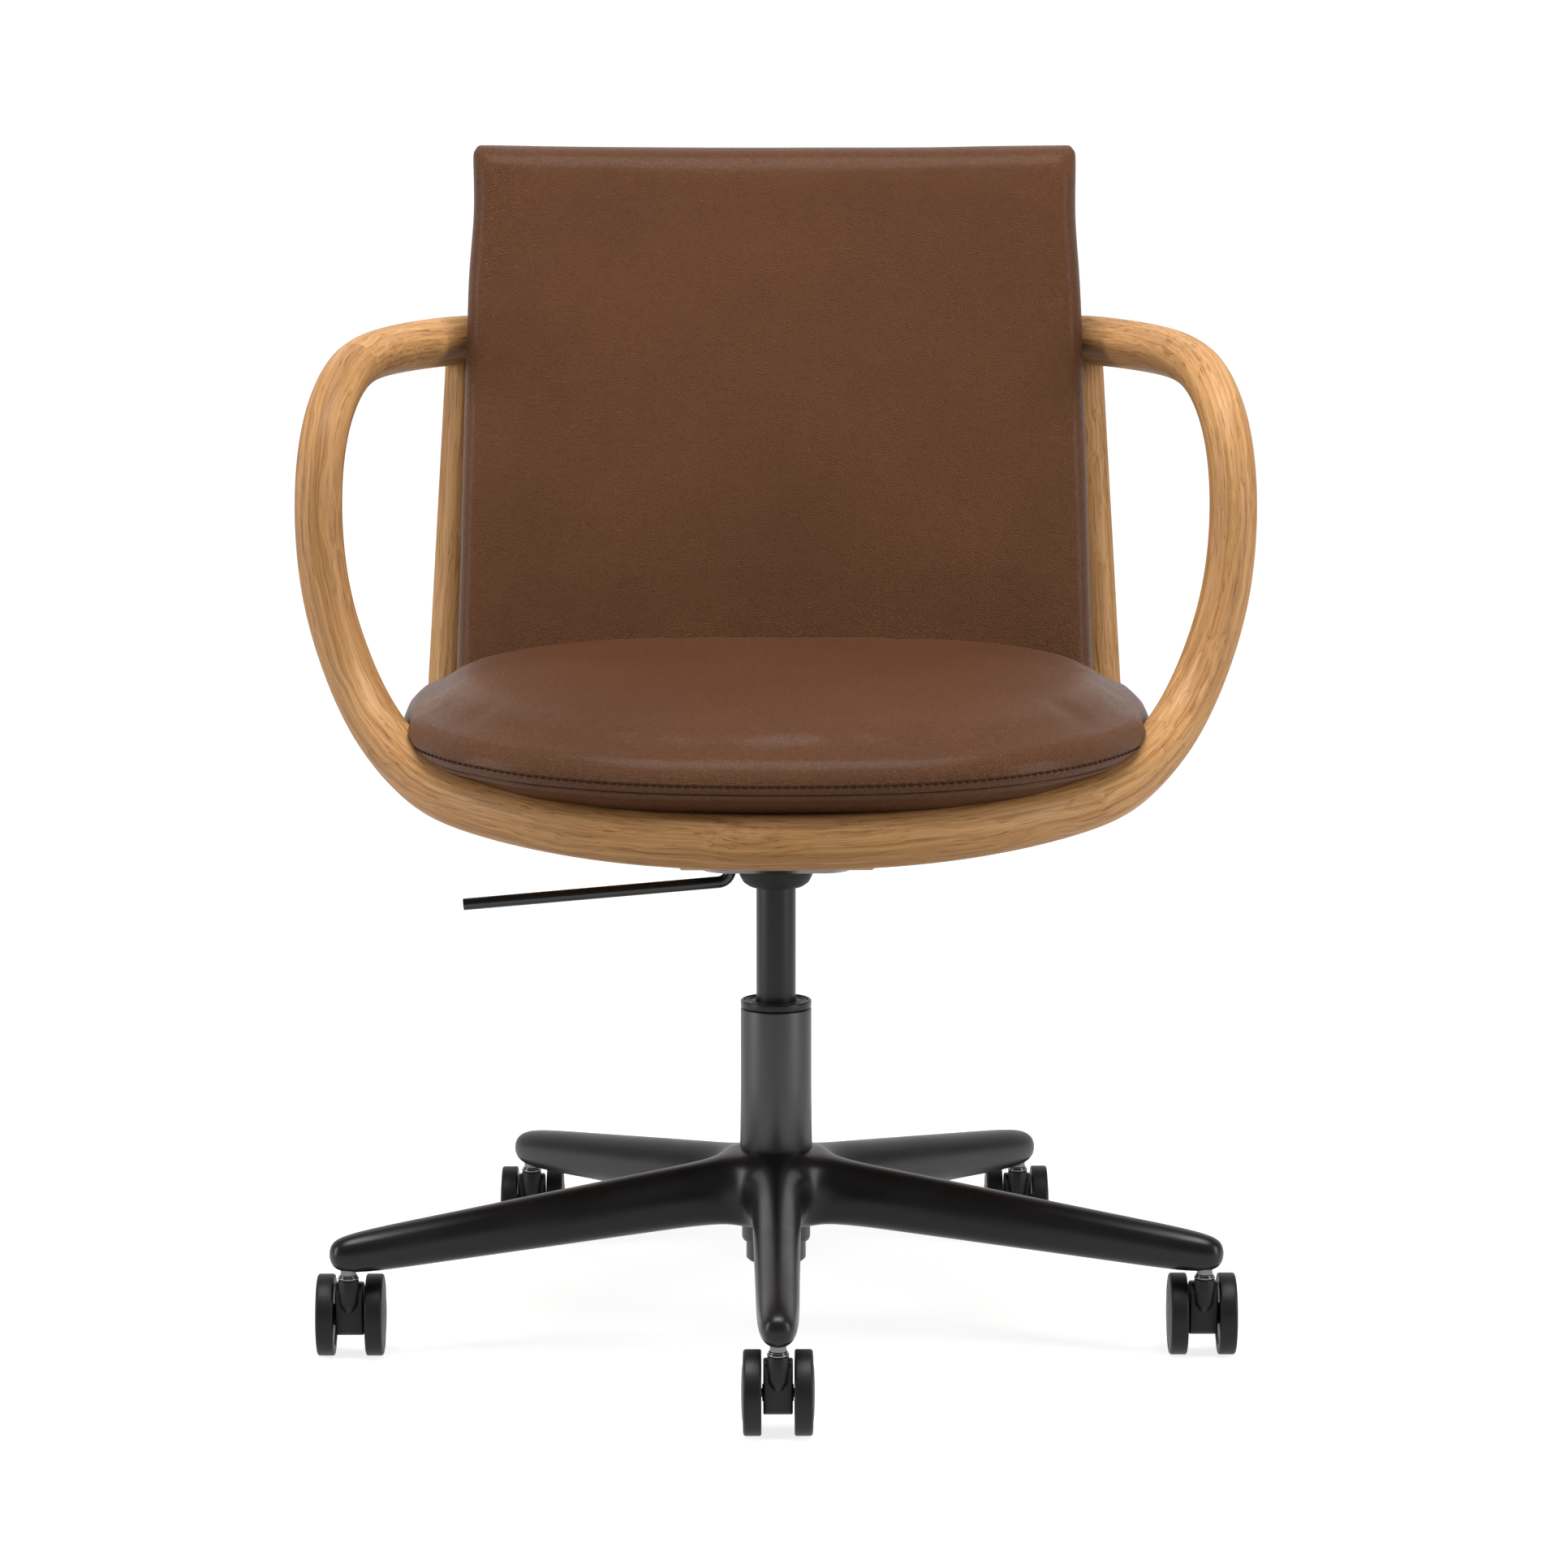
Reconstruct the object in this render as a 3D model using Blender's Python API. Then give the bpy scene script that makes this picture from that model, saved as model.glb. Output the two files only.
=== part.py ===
"""Task chair: a bent oak loop with leather seat and back on a swivelling, height-adjusting five-leg base.

Metres, +Z up, floor at z = 0, column axis on the Z axis, front of the chair towards -Y.
"""

import math

import bmesh
import bpy
import numpy as np
from mathutils import Matrix, Vector

# Clearances
GAP = 0.0003  # between pieces that touch
RUNNING_GAP = 0.0005  # between pieces that turn or slide in each other

EDGE_BREAK = 0.0010  # small chamfer on a turned or moulded edge
CUTTER_REACH = 0.0200  # how far a cutter runs on past what it cuts
ROUND_SIDES = 10  # facets round a small pin, screw or bore

# Casters
WHEEL_RADIUS = 0.0290
WHEEL_SIDES = 20
WHEEL_TREAD = 0.0118
WHEEL_DOME = 0.0016
WHEEL_CAP_RADIUS = 0.0195
WHEEL_GAP = 0.0012
AXLE_RADIUS = 0.0030
AXLE_BOSS_RADIUS = 0.0057
HOUSING_WIDTH = 0.0196
HOUSING_SHOULDER = 0.0040  # top of the block under the top of its stem boss
CASTER_TRAIL = 0.0200
CASTER_CIRCLE = 0.3132  # radius on which the stems stand
CASTER_COUNT = 5
STEM_RADIUS = 0.0055
STEM_COLLAR_RADIUS = 0.0073
STEM_COLLAR_HEIGHT = 0.0028
STEM_UP = 0.0220  # length held in the leg
STEM_DOWN = 0.0170  # length held in the housing
STEM_CHAMFER = 0.0010
STEM_BOSS_RADIUS = 0.0072
STEM_BOSS_HEIGHT = 0.0205
STEM_BOSS_CHAMFER = 0.0006

# Base
LEG_TIP_BOTTOM = 0.0620
LEG_TIP_HEIGHT = 0.0290
LEG_TIP_WIDTH = 0.0278
LEG_ROOT_WIDTH = 0.0350
LEG_ROOT_BOTTOM = 0.0800
LEG_ROOT_HEIGHT = 0.0462
HUB_TOP = 0.1318
HUB_LIP = 0.0016  # wall of the hub at the mouth round the column
HUB_CROTCH_RADIUS = 0.0455

# Column and gas spring
COLUMN_TOP = 0.2331
COLUMN_RADIUS = 0.0251
COLUMN_FOOT_RADIUS = 0.0256
COLUMN_FOOT_HEIGHT = 0.0450  # over which the foot narrows to the tube
COLUMN_TAPER_END_RADIUS = 0.0243
COLUMN_WALL = 0.0022
COLUMN_SIDES = 24
COLUMN_BELOW_HUB = 0.0150
STUB_RADIUS = 0.0212
STUB_LENGTH = 0.0150
STUB_FLOOR = 0.0060
STUB_WALL = 0.0030
STUB_ROUND = 0.0022
CAP_HEIGHT = 0.0050
BUSH_LENGTH = 0.0900
CYLINDER_RADIUS = 0.0140
CYLINDER_WALL = 0.0020
CYLINDER_TAPER = 0.0008  # how much narrower the top is, in the plate's socket
CYLINDER_END = 0.0120  # height of the seal and of the valve block
CYLINDER_LENGTH = 0.2270
CYLINDER_BOTTOM = 0.1350
ROD_RADIUS = 0.0050
ROD_SHOULDER = 0.0032  # collar that bears on the thrust bearing
ROD_POINT = 0.0010
PISTON_HEIGHT = 0.0120
PISTON_Z = 0.1960
BEARING_RADIUS = 0.0160
BEARING_HEIGHT = 0.0050
CLIP_RADIUS = 0.0090
CLIP_HEIGHT = 0.0026
BUTTON_RADIUS = 0.0032
BUTTON_HEIGHT = 0.0044

# Mechanism
PLATE_BOTTOM = 0.3350
PLATE_THICKNESS = 0.0082
PLATE_WIDTH = 0.1214
PLATE_LENGTH = 0.1500
PLATE_BEVEL = 0.0105
PLATE_LIP = 0.0015  # upright edge above the bevel
PLATE_CORNER = 0.0220
SOCKET_RADIUS = 0.0185
SOCKET_HEIGHT = 0.0270
BELL_TOP_RADIUS = 0.0280
BELL_BOTTOM_RADIUS = 0.0215
BELL_HEIGHT = 0.0145
LEVER_RADIUS = 0.00425
LEVER_BEND = 0.0090
LEVER_X = -0.0323
LEVER_DROP = 0.0120  # axis of the outer rod under the plate where it leaves the bend
LEVER_REACH = 0.1885
LEVER_SLOPE = math.radians(5.0)
LEVER_SWING = 0.0028  # room in the plate for the lifted lever
LUG_THICKNESS = 0.0030
LUG_WIDTH = 0.0120
LUG_HEIGHT = 0.0180
PIVOT_RADIUS = 0.0022
PIVOT_HEIGHT = 0.0120  # pivot axis above the plate
SCREW_RADIUS = 0.0025
SCREW_HEAD_RADIUS = 0.0040
SCREW_HEAD_HEIGHT = 0.0025
SCREW_LENGTH = 0.0300
SCREW_X = 0.0455
SCREW_Y = 0.0550

# Oak loop
LOOP_HALF_WIDTH = 0.3180  # centreline at its widest
FRONT_RAIL_Y = -0.2380
ARM_UPRIGHT_Y = -0.0220
FRONT_RAIL_Z = 0.3885
ARM_WIDEST_Z = 0.5900
ARMREST_Z = 0.6860
RAIL_HALF = 0.0187
ARM_HALF = 0.0165
BACK_RAIL_HALF = 0.0180
LOOP_DEPTH_HALF = 0.0174
LOOP_SIDES = 12
RAIL_ROUNDNESS = 2.3
ARM_ROUNDNESS = 2.0
SLIMMING = (0.49, 1.05)  # where the rail slims to the arm, in shares of the way to the widest point
FILLING = (1.12, 1.70)  # where it fills out again towards the back
FRONT_JOINT_SHARE = 0.815  # of the half width
ARM_BUTT_SHARE = 0.26  # of the way from the upright to the back rail
FINGER_LENGTH = 0.0260
FINGER_WIDTH = 0.0095
JOINT_BLOCK = 0.0600  # how far a joint cutter reaches past the joint
JOINT_BLOCK_HALF = 0.0500
STILE_RADIUS = 0.0155
STILE_TOP_INSET = 0.0889  # stile's axis inside the loop's widest centreline
STILE_FOOT_INSET = 0.0710
STILE_TOP_X = LOOP_HALF_WIDTH - STILE_TOP_INSET
STILE_FOOT_X = LOOP_HALF_WIDTH - STILE_FOOT_INSET
STILE_END_ROUND = 0.0040
STILE_SIDES = 14
STILE_FOOT_DROP = 0.0150  # below the rear rail's axis
REAR_RAIL_HALF = 0.0170
REAR_RAIL_ROUNDNESS = 3.0
REAR_RAIL_SIDES = 12
REAR_RAIL_MARK = 0.1200
REAR_RAIL_RISE = 0.0020  # axis above the underside of the seat pan

# Seat
PAN_TOP = 0.3970
PAN_THICKNESS = 0.0120
PAN_SIDE_INSET = 0.0291  # inside the cushion's edge
PAN_FRONT_Y = -0.2320
PAN_ROUNDNESS = 3.0
BEARER_WIDTH = 0.0260
BEARER_INNER_X = 0.0400
BEARER_NOSE_HEIGHT = 0.0130
BEARER_FLAT_FRONT_Y = -0.0780
SEAT_SIDE_INSET = 0.0569  # cushion edge inside the loop's widest centreline
SEAT_FRONT_Y = -0.2600
SEAT_ROUNDNESS = 2.45
SEAT_SIDES = 32
SEAT_REAR_SQUARENESS = 3.6
SEAM_Z = 0.4395
SEAM_FRONT_DROP = 0.0110
CROWN_HEIGHT = 0.0400
CROWN_REACH = 0.1700  # from the seam in to where the crown levels off
# Each level is (share of the reach, share of the height, share of the front's drop).
CROWN_LEVELS = (
    (0.012, 0.20, 1.0), (0.047, 0.44, 1.0), (0.141, 0.68, 0.95), (0.27, 0.83, 0.9),
    (0.435, 0.93, 0.8), (0.647, 0.985, 0.6), (1.0, 1.0, 0.3),
)
SEAT_PULL_IN = 0.0200  # how far the sides draw in under the seam

# Back
BACK_BOTTOM_Z = 0.4250
BACK_TOP_Z = 0.8310
BACK_TOP_INSET = 0.0952  # side edge inside the loop's widest centreline
BACK_BOTTOM_INSET = 0.0839
BACK_TOP_HALF_WIDTH = LOOP_HALF_WIDTH - BACK_TOP_INSET
BACK_BOTTOM_HALF_WIDTH = LOOP_HALF_WIDTH - BACK_BOTTOM_INSET
BACK_THICKNESS = 0.0480
BACK_CORNER = 0.0060
BACK_EDGE_ROUND = 0.0260
BACK_SIDE_DRAW = 0.0022
BACK_SIDE_DRAW_Z = 0.0500  # below the top, where the sides draw in most
BACK_SIDE_DRAW_SPAN = 0.0350
BACK_TOP_DIP = 0.0030  # how far the top edge sinks between its corners
BACK_GRID = 8
BACK_SEAT_Y = 0.1900  # front of the back cushion where the seat meets it
BACK_SEAT_Z = 0.4720
BACK_RECLINE = math.radians(10.0)
BACK_HOLLOW = 0.0225  # how far the sides stand forward of the middle
LUMBAR_DEPTH = 0.0060
LUMBAR_Z = 0.5600
LUMBAR_SPAN = 0.0900
SHELL_THICKNESS = 0.0100
SHELL_FOOT_WIDTH = 0.80  # share of the shell's width left at its foot
BACK_SCREW_X = 0.1200
BACK_SCREW_HEAD_RADIUS = 0.0055

# Centreline of the loop from the front middle to the widest point of the arm, then on to the back middle.
# Each point is (share of the half width, share of the way back, share of the way up) within its stretch.
LOWER_SWEEP = (
    (0.0, 0.0, 0.0), (0.371, 0.083, 0.020), (0.656, 0.343, 0.077), (0.764, 0.546, 0.136),
    (0.877, 0.824, 0.290), (0.948, 0.935, 0.512), (0.986, 0.972, 0.735), (1.0, 1.0, 1.0),
)
UPPER_SWEEP = (
    (0.990, 0.043, 0.490), (0.965, 0.160, 0.812), (0.930, 0.361, 0.965), (0.858, 0.654, 0.999),
    (0.733, 0.900, 1.0), (0.628, 0.948, 0.995), (0.377, 0.983, 0.979), (0.0, 1.0, 0.969),
)


# Scene and small helpers

def clear_scene():
    for item in list(bpy.data.objects):
        bpy.data.objects.remove(item, do_unlink=True)


def finish(name, colour, roughness, metallic=0.0):
    material = bpy.data.materials.new(name)
    material.use_nodes = True
    shader = material.node_tree.nodes["Principled BSDF"]
    shader.inputs["Base Color"].default_value = (*colour, 1.0)
    shader.inputs["Roughness"].default_value = roughness
    shader.inputs["Metallic"].default_value = metallic
    material.diffuse_color = (*colour, 1.0)
    return material


def add_object(name, mesh_data, material=None, place=None):
    """Finishes a bmesh as one named object, its faces turned outwards."""
    bmesh.ops.recalc_face_normals(mesh_data, faces=mesh_data.faces)
    if mesh_data.calc_volume(signed=True) < 0:
        bmesh.ops.reverse_faces(mesh_data, faces=mesh_data.faces)
    mesh = bpy.data.meshes.new(name)
    mesh_data.to_mesh(mesh)
    mesh_data.free()
    mesh.shade_smooth()
    mesh.set_sharp_from_angle(angle=math.radians(35))
    piece = bpy.data.objects.new(name, mesh)
    bpy.context.scene.collection.objects.link(piece)
    if material:
        mesh.materials.append(material)
    if place is not None:
        piece.matrix_world = place
    return piece


def as_cutter(piece):
    piece.hide_render = True
    piece.display_type = "WIRE"
    return piece


def cut(piece, cutter):
    modifier = piece.modifiers.new("cut_" + cutter.name, "BOOLEAN")
    modifier.operation = "DIFFERENCE"
    modifier.object = cutter
    return piece


def add_to(piece, other):
    modifier = piece.modifiers.new("join_" + other.name, "BOOLEAN")
    modifier.operation = "UNION"
    modifier.object = other
    as_cutter(other)
    return piece


def lofted(name, rings, material=None, closed=False, place=None, thin=False):
    """Skins a row of rings, each a list of points in the same order, and closes both ends.

    A thin ring runs along one face of a sheet and back along the other, so its end is closed by a strip.
    """
    bm = bmesh.new()
    rows = [[bm.verts.new(point) for point in ring] for ring in rings]
    pairs = list(zip(rows, rows[1:]))
    if closed:
        pairs.append((rows[-1], rows[0]))
    for low, high in pairs:
        for i in range(len(low)):
            j = (i + 1) % len(low)
            bm.faces.new((low[i], low[j], high[j], high[i]))
    if thin:
        for row in (rows[0], rows[-1]):
            for i in range(len(row) // 2 - 1):
                bm.faces.new((row[i], row[i + 1], row[-2 - i], row[-1 - i]))
    elif not closed:
        for row in (rows[0], rows[-1]):
            middle = bm.verts.new(sum((v.co for v in row), Vector()) / len(row))
            for i in range(len(row)):
                bm.faces.new((row[i], row[(i + 1) % len(row)], middle))
    return add_object(name, bm, material, place)


def turned(name, profile, sides, material=None, place=None, phase=0.5):
    """Turns (radius, height) points about Z. Without a pole at radius 0 the profile closes on itself."""
    bm = bmesh.new()
    rows = []
    for radius, height in profile:
        if radius == 0:
            rows.append([bm.verts.new((0, 0, height))])
            continue
        angles = [2 * math.pi * (i + phase) / sides for i in range(sides)]
        rows.append([bm.verts.new((radius * math.cos(a), radius * math.sin(a), height)) for a in angles])
    pairs = list(zip(rows, rows[1:]))
    if len(rows[0]) > 1 and len(rows[-1]) > 1:
        pairs.append((rows[-1], rows[0]))
    for low, high in pairs:
        for i in range(sides):
            j = (i + 1) % sides
            corners = []
            around = (low[i % len(low)], low[j % len(low)], high[j % len(high)], high[i % len(high)])
            for vertex in around:
                if vertex not in corners:
                    corners.append(vertex)
            if len(corners) > 2:
                bm.faces.new(corners)
    return add_object(name, bm, material, place)


def rod_profile(radius, low, high):
    """Profile of a plain rod between two heights."""
    return [(0, low), (radius, low), (radius, high), (0, high)]


def prism(name, outline, low, high, material=None, place=None, axis="Z"):
    """Extrudes a flat outline between two levels along an axis."""
    turn = {
        "Z": lambda a, b, c: (a, b, c),
        "X": lambda a, b, c: (c, a, b),
        "Y": lambda a, b, c: (a, c, b),
    }[axis]
    bm = bmesh.new()
    bottom = [bm.verts.new(turn(a, b, low)) for a, b in outline]
    top = [bm.verts.new(turn(a, b, high)) for a, b in outline]
    bm.faces.new(bottom)
    bm.faces.new(top)
    for i in range(len(outline)):
        j = (i + 1) % len(outline)
        bm.faces.new((bottom[i], bottom[j], top[j], top[i]))
    return add_object(name, bm, material, place)


def rounded_corner(corner, before, after, radius, steps=4):
    """Points of an arc that rounds a corner between the ways to its two neighbours."""
    corner, before, after = Vector(corner), Vector(before), Vector(after)
    to_before, to_after = (before - corner).normalized(), (after - corner).normalized()
    half = to_before.angle(to_after) / 2
    reach = radius / math.tan(half)
    centre = corner + (to_before + to_after).normalized() * radius / math.sin(half)
    start, end = corner + to_before * reach - centre, corner + to_after * reach - centre
    start, end = start.normalized(), end.normalized()
    return [tuple(centre + radius * start.slerp(end, i / steps)) for i in range(steps + 1)]


def rounded_outline(corners, radii, steps=4):
    points = []
    count = len(corners)
    for i, (corner, radius) in enumerate(zip(corners, radii)):
        flat = [Vector((*p, 0)) for p in (corner, corners[i - 1], corners[(i + 1) % count])]
        if radius == 0:
            points.append(corner)
            continue
        points += [(p[0], p[1]) for p in rounded_corner(*flat, radius, steps)]
    return points


def swept_tube(name, path, radius, sides, material=None):
    """A round rod along a path in the XZ plane."""
    rings = []
    for i, point in enumerate(path):
        ahead = Vector(path[min(i + 1, len(path) - 1)]) - Vector(path[max(i - 1, 0)])
        ahead.normalize()
        across = Vector((0, 1, 0))
        other = ahead.cross(across)
        angles = [2 * math.pi * k / sides for k in range(sides)]
        spokes = [math.cos(a) * across + math.sin(a) * other for a in angles]
        rings.append([Vector(point) + radius * spoke for spoke in spokes])
    return lofted(name, rings, material)


def superellipse(half_a, half_b, power, sides, phase=0.0):
    points = []
    for i in range(sides):
        angle = 2 * math.pi * (i + phase) / sides
        c, s = math.cos(angle), math.sin(angle)
        points.append((
            math.copysign(half_a * abs(c) ** (2 / power), c),
            math.copysign(half_b * abs(s) ** (2 / power), s),
        ))
    return points


# Finishes

def make_finishes():
    return {
        "oak": finish("oak", (0.50, 0.30, 0.15), 0.45),
        "leather": finish("leather", (0.14, 0.055, 0.028), 0.42),
        "plywood": finish("plywood", (0.45, 0.31, 0.18), 0.6),
        "black_paint": finish("black_paint", (0.015, 0.015, 0.016), 0.35, 0.2),
        "column_paint": finish("column_paint", (0.07, 0.07, 0.075), 0.35, 0.6),
        "steel": finish("steel", (0.35, 0.35, 0.36), 0.35, 0.9),
        "chrome": finish("chrome", (0.6, 0.6, 0.6), 0.12, 1.0),
        "black_plastic": finish("black_plastic", (0.02, 0.02, 0.022), 0.5),
        "grey_plastic": finish("grey_plastic", (0.22, 0.22, 0.22), 0.5),
    }


# Casters

def axle_height():
    return WHEEL_RADIUS * math.cos(math.pi / WHEEL_SIDES)


def housing_top():
    return LEG_TIP_BOTTOM - GAP - STEM_COLLAR_HEIGHT - GAP


def wheel_inner_x():
    return HOUSING_WIDTH / 2 + WHEEL_GAP


def wheel_profile():
    """Half wheel from its blind bore, round the tread, to the domed face; heights run outwards."""
    inner = wheel_inner_x()
    outer = inner + WHEEL_TREAD
    bore = AXLE_RADIUS + GAP
    bore_end = axle_half_length() + GAP
    return [
        (0, bore_end), (bore, bore_end), (bore, inner),
        (WHEEL_RADIUS, inner),
        (WHEEL_RADIUS, outer - EDGE_BREAK), (WHEEL_RADIUS - EDGE_BREAK, outer),
        (WHEEL_CAP_RADIUS, outer + WHEEL_DOME), (0, outer + WHEEL_DOME),
    ]


def axle_half_length():
    return wheel_inner_x() + 0.8 * WHEEL_TREAD


def housing_outline():
    """Side of the block between the wheels: y behind the stem axis, z above the floor."""
    axle_z = axle_height()
    rear = CASTER_TRAIL + 0.45 * WHEEL_RADIUS
    low = axle_z - 0.43 * WHEEL_RADIUS
    top = housing_top() - HOUSING_SHOULDER
    step = HOUSING_SHOULDER
    corners = [
        (-0.1 * STEM_BOSS_RADIUS, top), (-0.1 * STEM_BOSS_RADIUS, axle_z + step),
        (0.35 * CASTER_TRAIL, low), (rear - step, low), (rear, axle_z),
        (CASTER_TRAIL, top - step), (STEM_BOSS_RADIUS + 0.5 * step, top),
    ]
    return rounded_outline(corners, [step * share for share in (0, 1.5, 1, 1.75, 2, 2.5, 1)], 2)


def build_caster(number, base_x, base_y, looks):
    """One twin-wheel caster, trailing straight back from its stem."""
    at_stem = Matrix.Translation((base_x, base_y, 0))
    name = f"caster_{number}_"
    top = housing_top()
    stem_bottom = top - STEM_DOWN
    turned(name + "stem", [
        (0, stem_bottom), (STEM_RADIUS, stem_bottom),
        (STEM_RADIUS, top + GAP), (STEM_COLLAR_RADIUS, top + GAP),
        (STEM_COLLAR_RADIUS, top + GAP + 0.6 * STEM_COLLAR_HEIGHT),
        (STEM_RADIUS, top + GAP + STEM_COLLAR_HEIGHT),
        (STEM_RADIUS, LEG_TIP_BOTTOM + STEM_UP - STEM_CHAMFER),
        (STEM_RADIUS - STEM_CHAMFER, LEG_TIP_BOTTOM + STEM_UP), (0, LEG_TIP_BOTTOM + STEM_UP),
    ], ROUND_SIDES, looks["chrome"], at_stem)

    housing = prism(name + "housing", housing_outline(), -HOUSING_WIDTH / 2, HOUSING_WIDTH / 2,
                    looks["black_plastic"], at_stem, axis="X")
    boss_low = top - STEM_BOSS_HEIGHT
    boss = turned(name + "stem_boss", [
        (0, boss_low), (0.6 * STEM_BOSS_RADIUS, boss_low),
        (STEM_BOSS_RADIUS, boss_low + 0.4 * STEM_BOSS_RADIUS),
        (STEM_BOSS_RADIUS, top - STEM_BOSS_CHAMFER), (STEM_BOSS_RADIUS - STEM_BOSS_CHAMFER, top),
        (0, top),
    ], 12, None, at_stem)
    at_axle = at_stem @ Matrix.Translation((0, CASTER_TRAIL, axle_height()))
    across = at_axle @ Matrix.Rotation(math.pi / 2, 4, "Y")
    reach = wheel_inner_x() - RUNNING_GAP
    hub = turned(name + "axle_boss", rod_profile(AXLE_BOSS_RADIUS, -reach, reach), ROUND_SIDES, None, across)
    bore = turned(name + "stem_bore", rod_profile(STEM_RADIUS + GAP, stem_bottom - GAP, LEG_TIP_BOTTOM),
                  ROUND_SIDES, None, at_stem)
    tunnel = turned(name + "axle_bore", rod_profile(AXLE_RADIUS + GAP, -HOUSING_WIDTH, HOUSING_WIDTH),
                    ROUND_SIDES, None, across)
    for piece in (boss, hub):
        add_to(housing, piece)
    for piece in (bore, tunnel):
        cut(housing, as_cutter(piece))

    half = axle_half_length()
    turned(name + "axle", rod_profile(AXLE_RADIUS, -half, half), ROUND_SIDES, looks["steel"], across)
    for side, turn in (("right", 1), ("left", -1)):
        outward = at_axle @ Matrix.Rotation(turn * math.pi / 2, 4, "Y")
        turned(name + "wheel_" + side, wheel_profile(), WHEEL_SIDES, looks["black_plastic"], outward)


def leg_directions():
    """Unit vectors of the legs, the first towards the front."""
    step = 2 * math.pi / CASTER_COUNT
    return [(math.sin(i * step), -math.cos(i * step)) for i in range(CASTER_COUNT)]


# Five-leg base

def leg_sections():
    """(distance from the axis, lowest z, highest z, width) along a leg, tip last."""
    root = HUB_CROTCH_RADIUS
    tip = CASTER_CIRCLE
    sections = []
    for share in (0.0, 0.16, 0.80, 1.0):
        out = root + share * (tip - root)
        low = LEG_ROOT_BOTTOM + share * (LEG_TIP_BOTTOM - LEG_ROOT_BOTTOM)
        height = LEG_ROOT_HEIGHT + share * (LEG_TIP_HEIGHT - LEG_ROOT_HEIGHT)
        width = LEG_ROOT_WIDTH + share * (LEG_TIP_WIDTH - LEG_ROOT_WIDTH)
        sections.append((out, low, low + height, width))
    out, low, high, width = sections[-1]
    middle = (low + high) / 2
    ball = (high - low) / 2
    sections.append((out + 0.98 * ball, middle - 0.62 * ball, middle + 0.62 * ball, 0.62 * width))
    return sections


def build_base(looks):
    """A cage of quads smoothed by subdivision: a ten-sided hub whose five wide faces run out as legs."""
    swell = 1 / 0.9167  # a subdivided square section lies this much inside its cage
    bm = bmesh.new()
    sections = []
    for out, low, high, width in leg_sections():
        middle, half = (low + high) / 2, swell * (high - low) / 2
        sections.append((out, middle - half, middle + half, swell * width / 2))
    hub_radius = COLUMN_FOOT_RADIUS + HUB_LIP
    spread = math.asin(sections[0][3] / sections[0][0])
    top_ring, bottom_ring, shoulder_ring, foot_ring = [], [], [], []
    for x, y in leg_directions():
        out_way, side_way = Vector((x, y, 0)), Vector((-y, x, 0))
        for turn in (-1, 1):
            way = math.cos(spread) * out_way + turn * math.sin(spread) * side_way
            top_ring.append(bm.verts.new(hub_radius * 1.03 * way + Vector((0, 0, HUB_TOP))))
            bottom_ring.append(bm.verts.new(hub_radius * 1.03 * way + Vector((0, 0, LEG_ROOT_BOTTOM))))
            shoulder_ring.append(bm.verts.new(HUB_CROTCH_RADIUS * way + Vector((0, 0, sections[0][2]))))
            foot_ring.append(bm.verts.new(HUB_CROTCH_RADIUS * way + Vector((0, 0, sections[0][1]))))
        previous = [shoulder_ring[-2], shoulder_ring[-1], foot_ring[-1], foot_ring[-2]]
        for out, low, high, half in sections[1:]:
            centre = out * out_way
            ring = [bm.verts.new(centre + turn * half * side_way + Vector((0, 0, z)))
                    for turn, z in ((-1, high), (1, high), (1, low), (-1, low))]
            for i in range(4):
                j = (i + 1) % 4
                bm.faces.new((previous[i], previous[j], ring[j], ring[i]))
            previous = ring
        bm.faces.new(previous)
    count = len(top_ring)
    for i in range(count):
        j = (i + 1) % count
        bm.faces.new((top_ring[i], top_ring[j], shoulder_ring[j], shoulder_ring[i]))
        bm.faces.new((foot_ring[i], foot_ring[j], bottom_ring[j], bottom_ring[i]))
        if i % 2:
            bm.faces.new((shoulder_ring[i], shoulder_ring[j], foot_ring[j], foot_ring[i]))
    bm.faces.new(top_ring)
    bm.faces.new(bottom_ring)
    crease = bm.edges.layers.float.new("crease_edge")
    for ring in (top_ring, bottom_ring):
        for i in range(count):
            bm.edges.get((ring[i], ring[(i + 1) % count]))[crease] = 1.0
    star = add_object("base_star", bm, looks["black_paint"])
    smooth = star.modifiers.new("smooth", "SUBSURF")
    smooth.levels = 2
    smooth.render_levels = 2
    cut(star, as_cutter(turned("hub_bore", column_outside(GAP), COLUMN_SIDES)))
    for number, (x, y) in enumerate(leg_directions()):
        bore = rod_profile(STEM_RADIUS + GAP, LEG_TIP_BOTTOM - CUTTER_REACH, LEG_TIP_BOTTOM + STEM_UP + GAP)
        hole = turned(f"stem_hole_{number}", bore, ROUND_SIDES, None,
                      Matrix.Translation((CASTER_CIRCLE * x, CASTER_CIRCLE * y, 0)))
        cut(star, as_cutter(hole))
    return star


# Column and gas spring

def stub_bottom():
    return LEG_ROOT_BOTTOM - COLUMN_BELOW_HUB - STUB_LENGTH


def column_outside(extra=0.0):
    """Outer profile of the column tube, pole to pole, bottom first, swollen by a clearance."""
    low = LEG_ROOT_BOTTOM
    collar = low - COLUMN_BELOW_HUB
    end = stub_bottom()
    return [
        (0, end - extra), (STUB_RADIUS - STUB_ROUND + extra, end - extra),
        (STUB_RADIUS + extra, end + STUB_ROUND),
        (STUB_RADIUS + extra, collar - extra), (COLUMN_TAPER_END_RADIUS - EDGE_BREAK + extra, collar - extra),
        (COLUMN_TAPER_END_RADIUS + extra, collar + 2 * EDGE_BREAK), (COLUMN_TAPER_END_RADIUS + extra, low),
        (COLUMN_FOOT_RADIUS + extra, HUB_TOP), (COLUMN_RADIUS + extra, HUB_TOP + COLUMN_FOOT_HEIGHT),
        (COLUMN_RADIUS + extra, COLUMN_TOP + extra), (0, COLUMN_TOP + extra),
    ]


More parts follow.
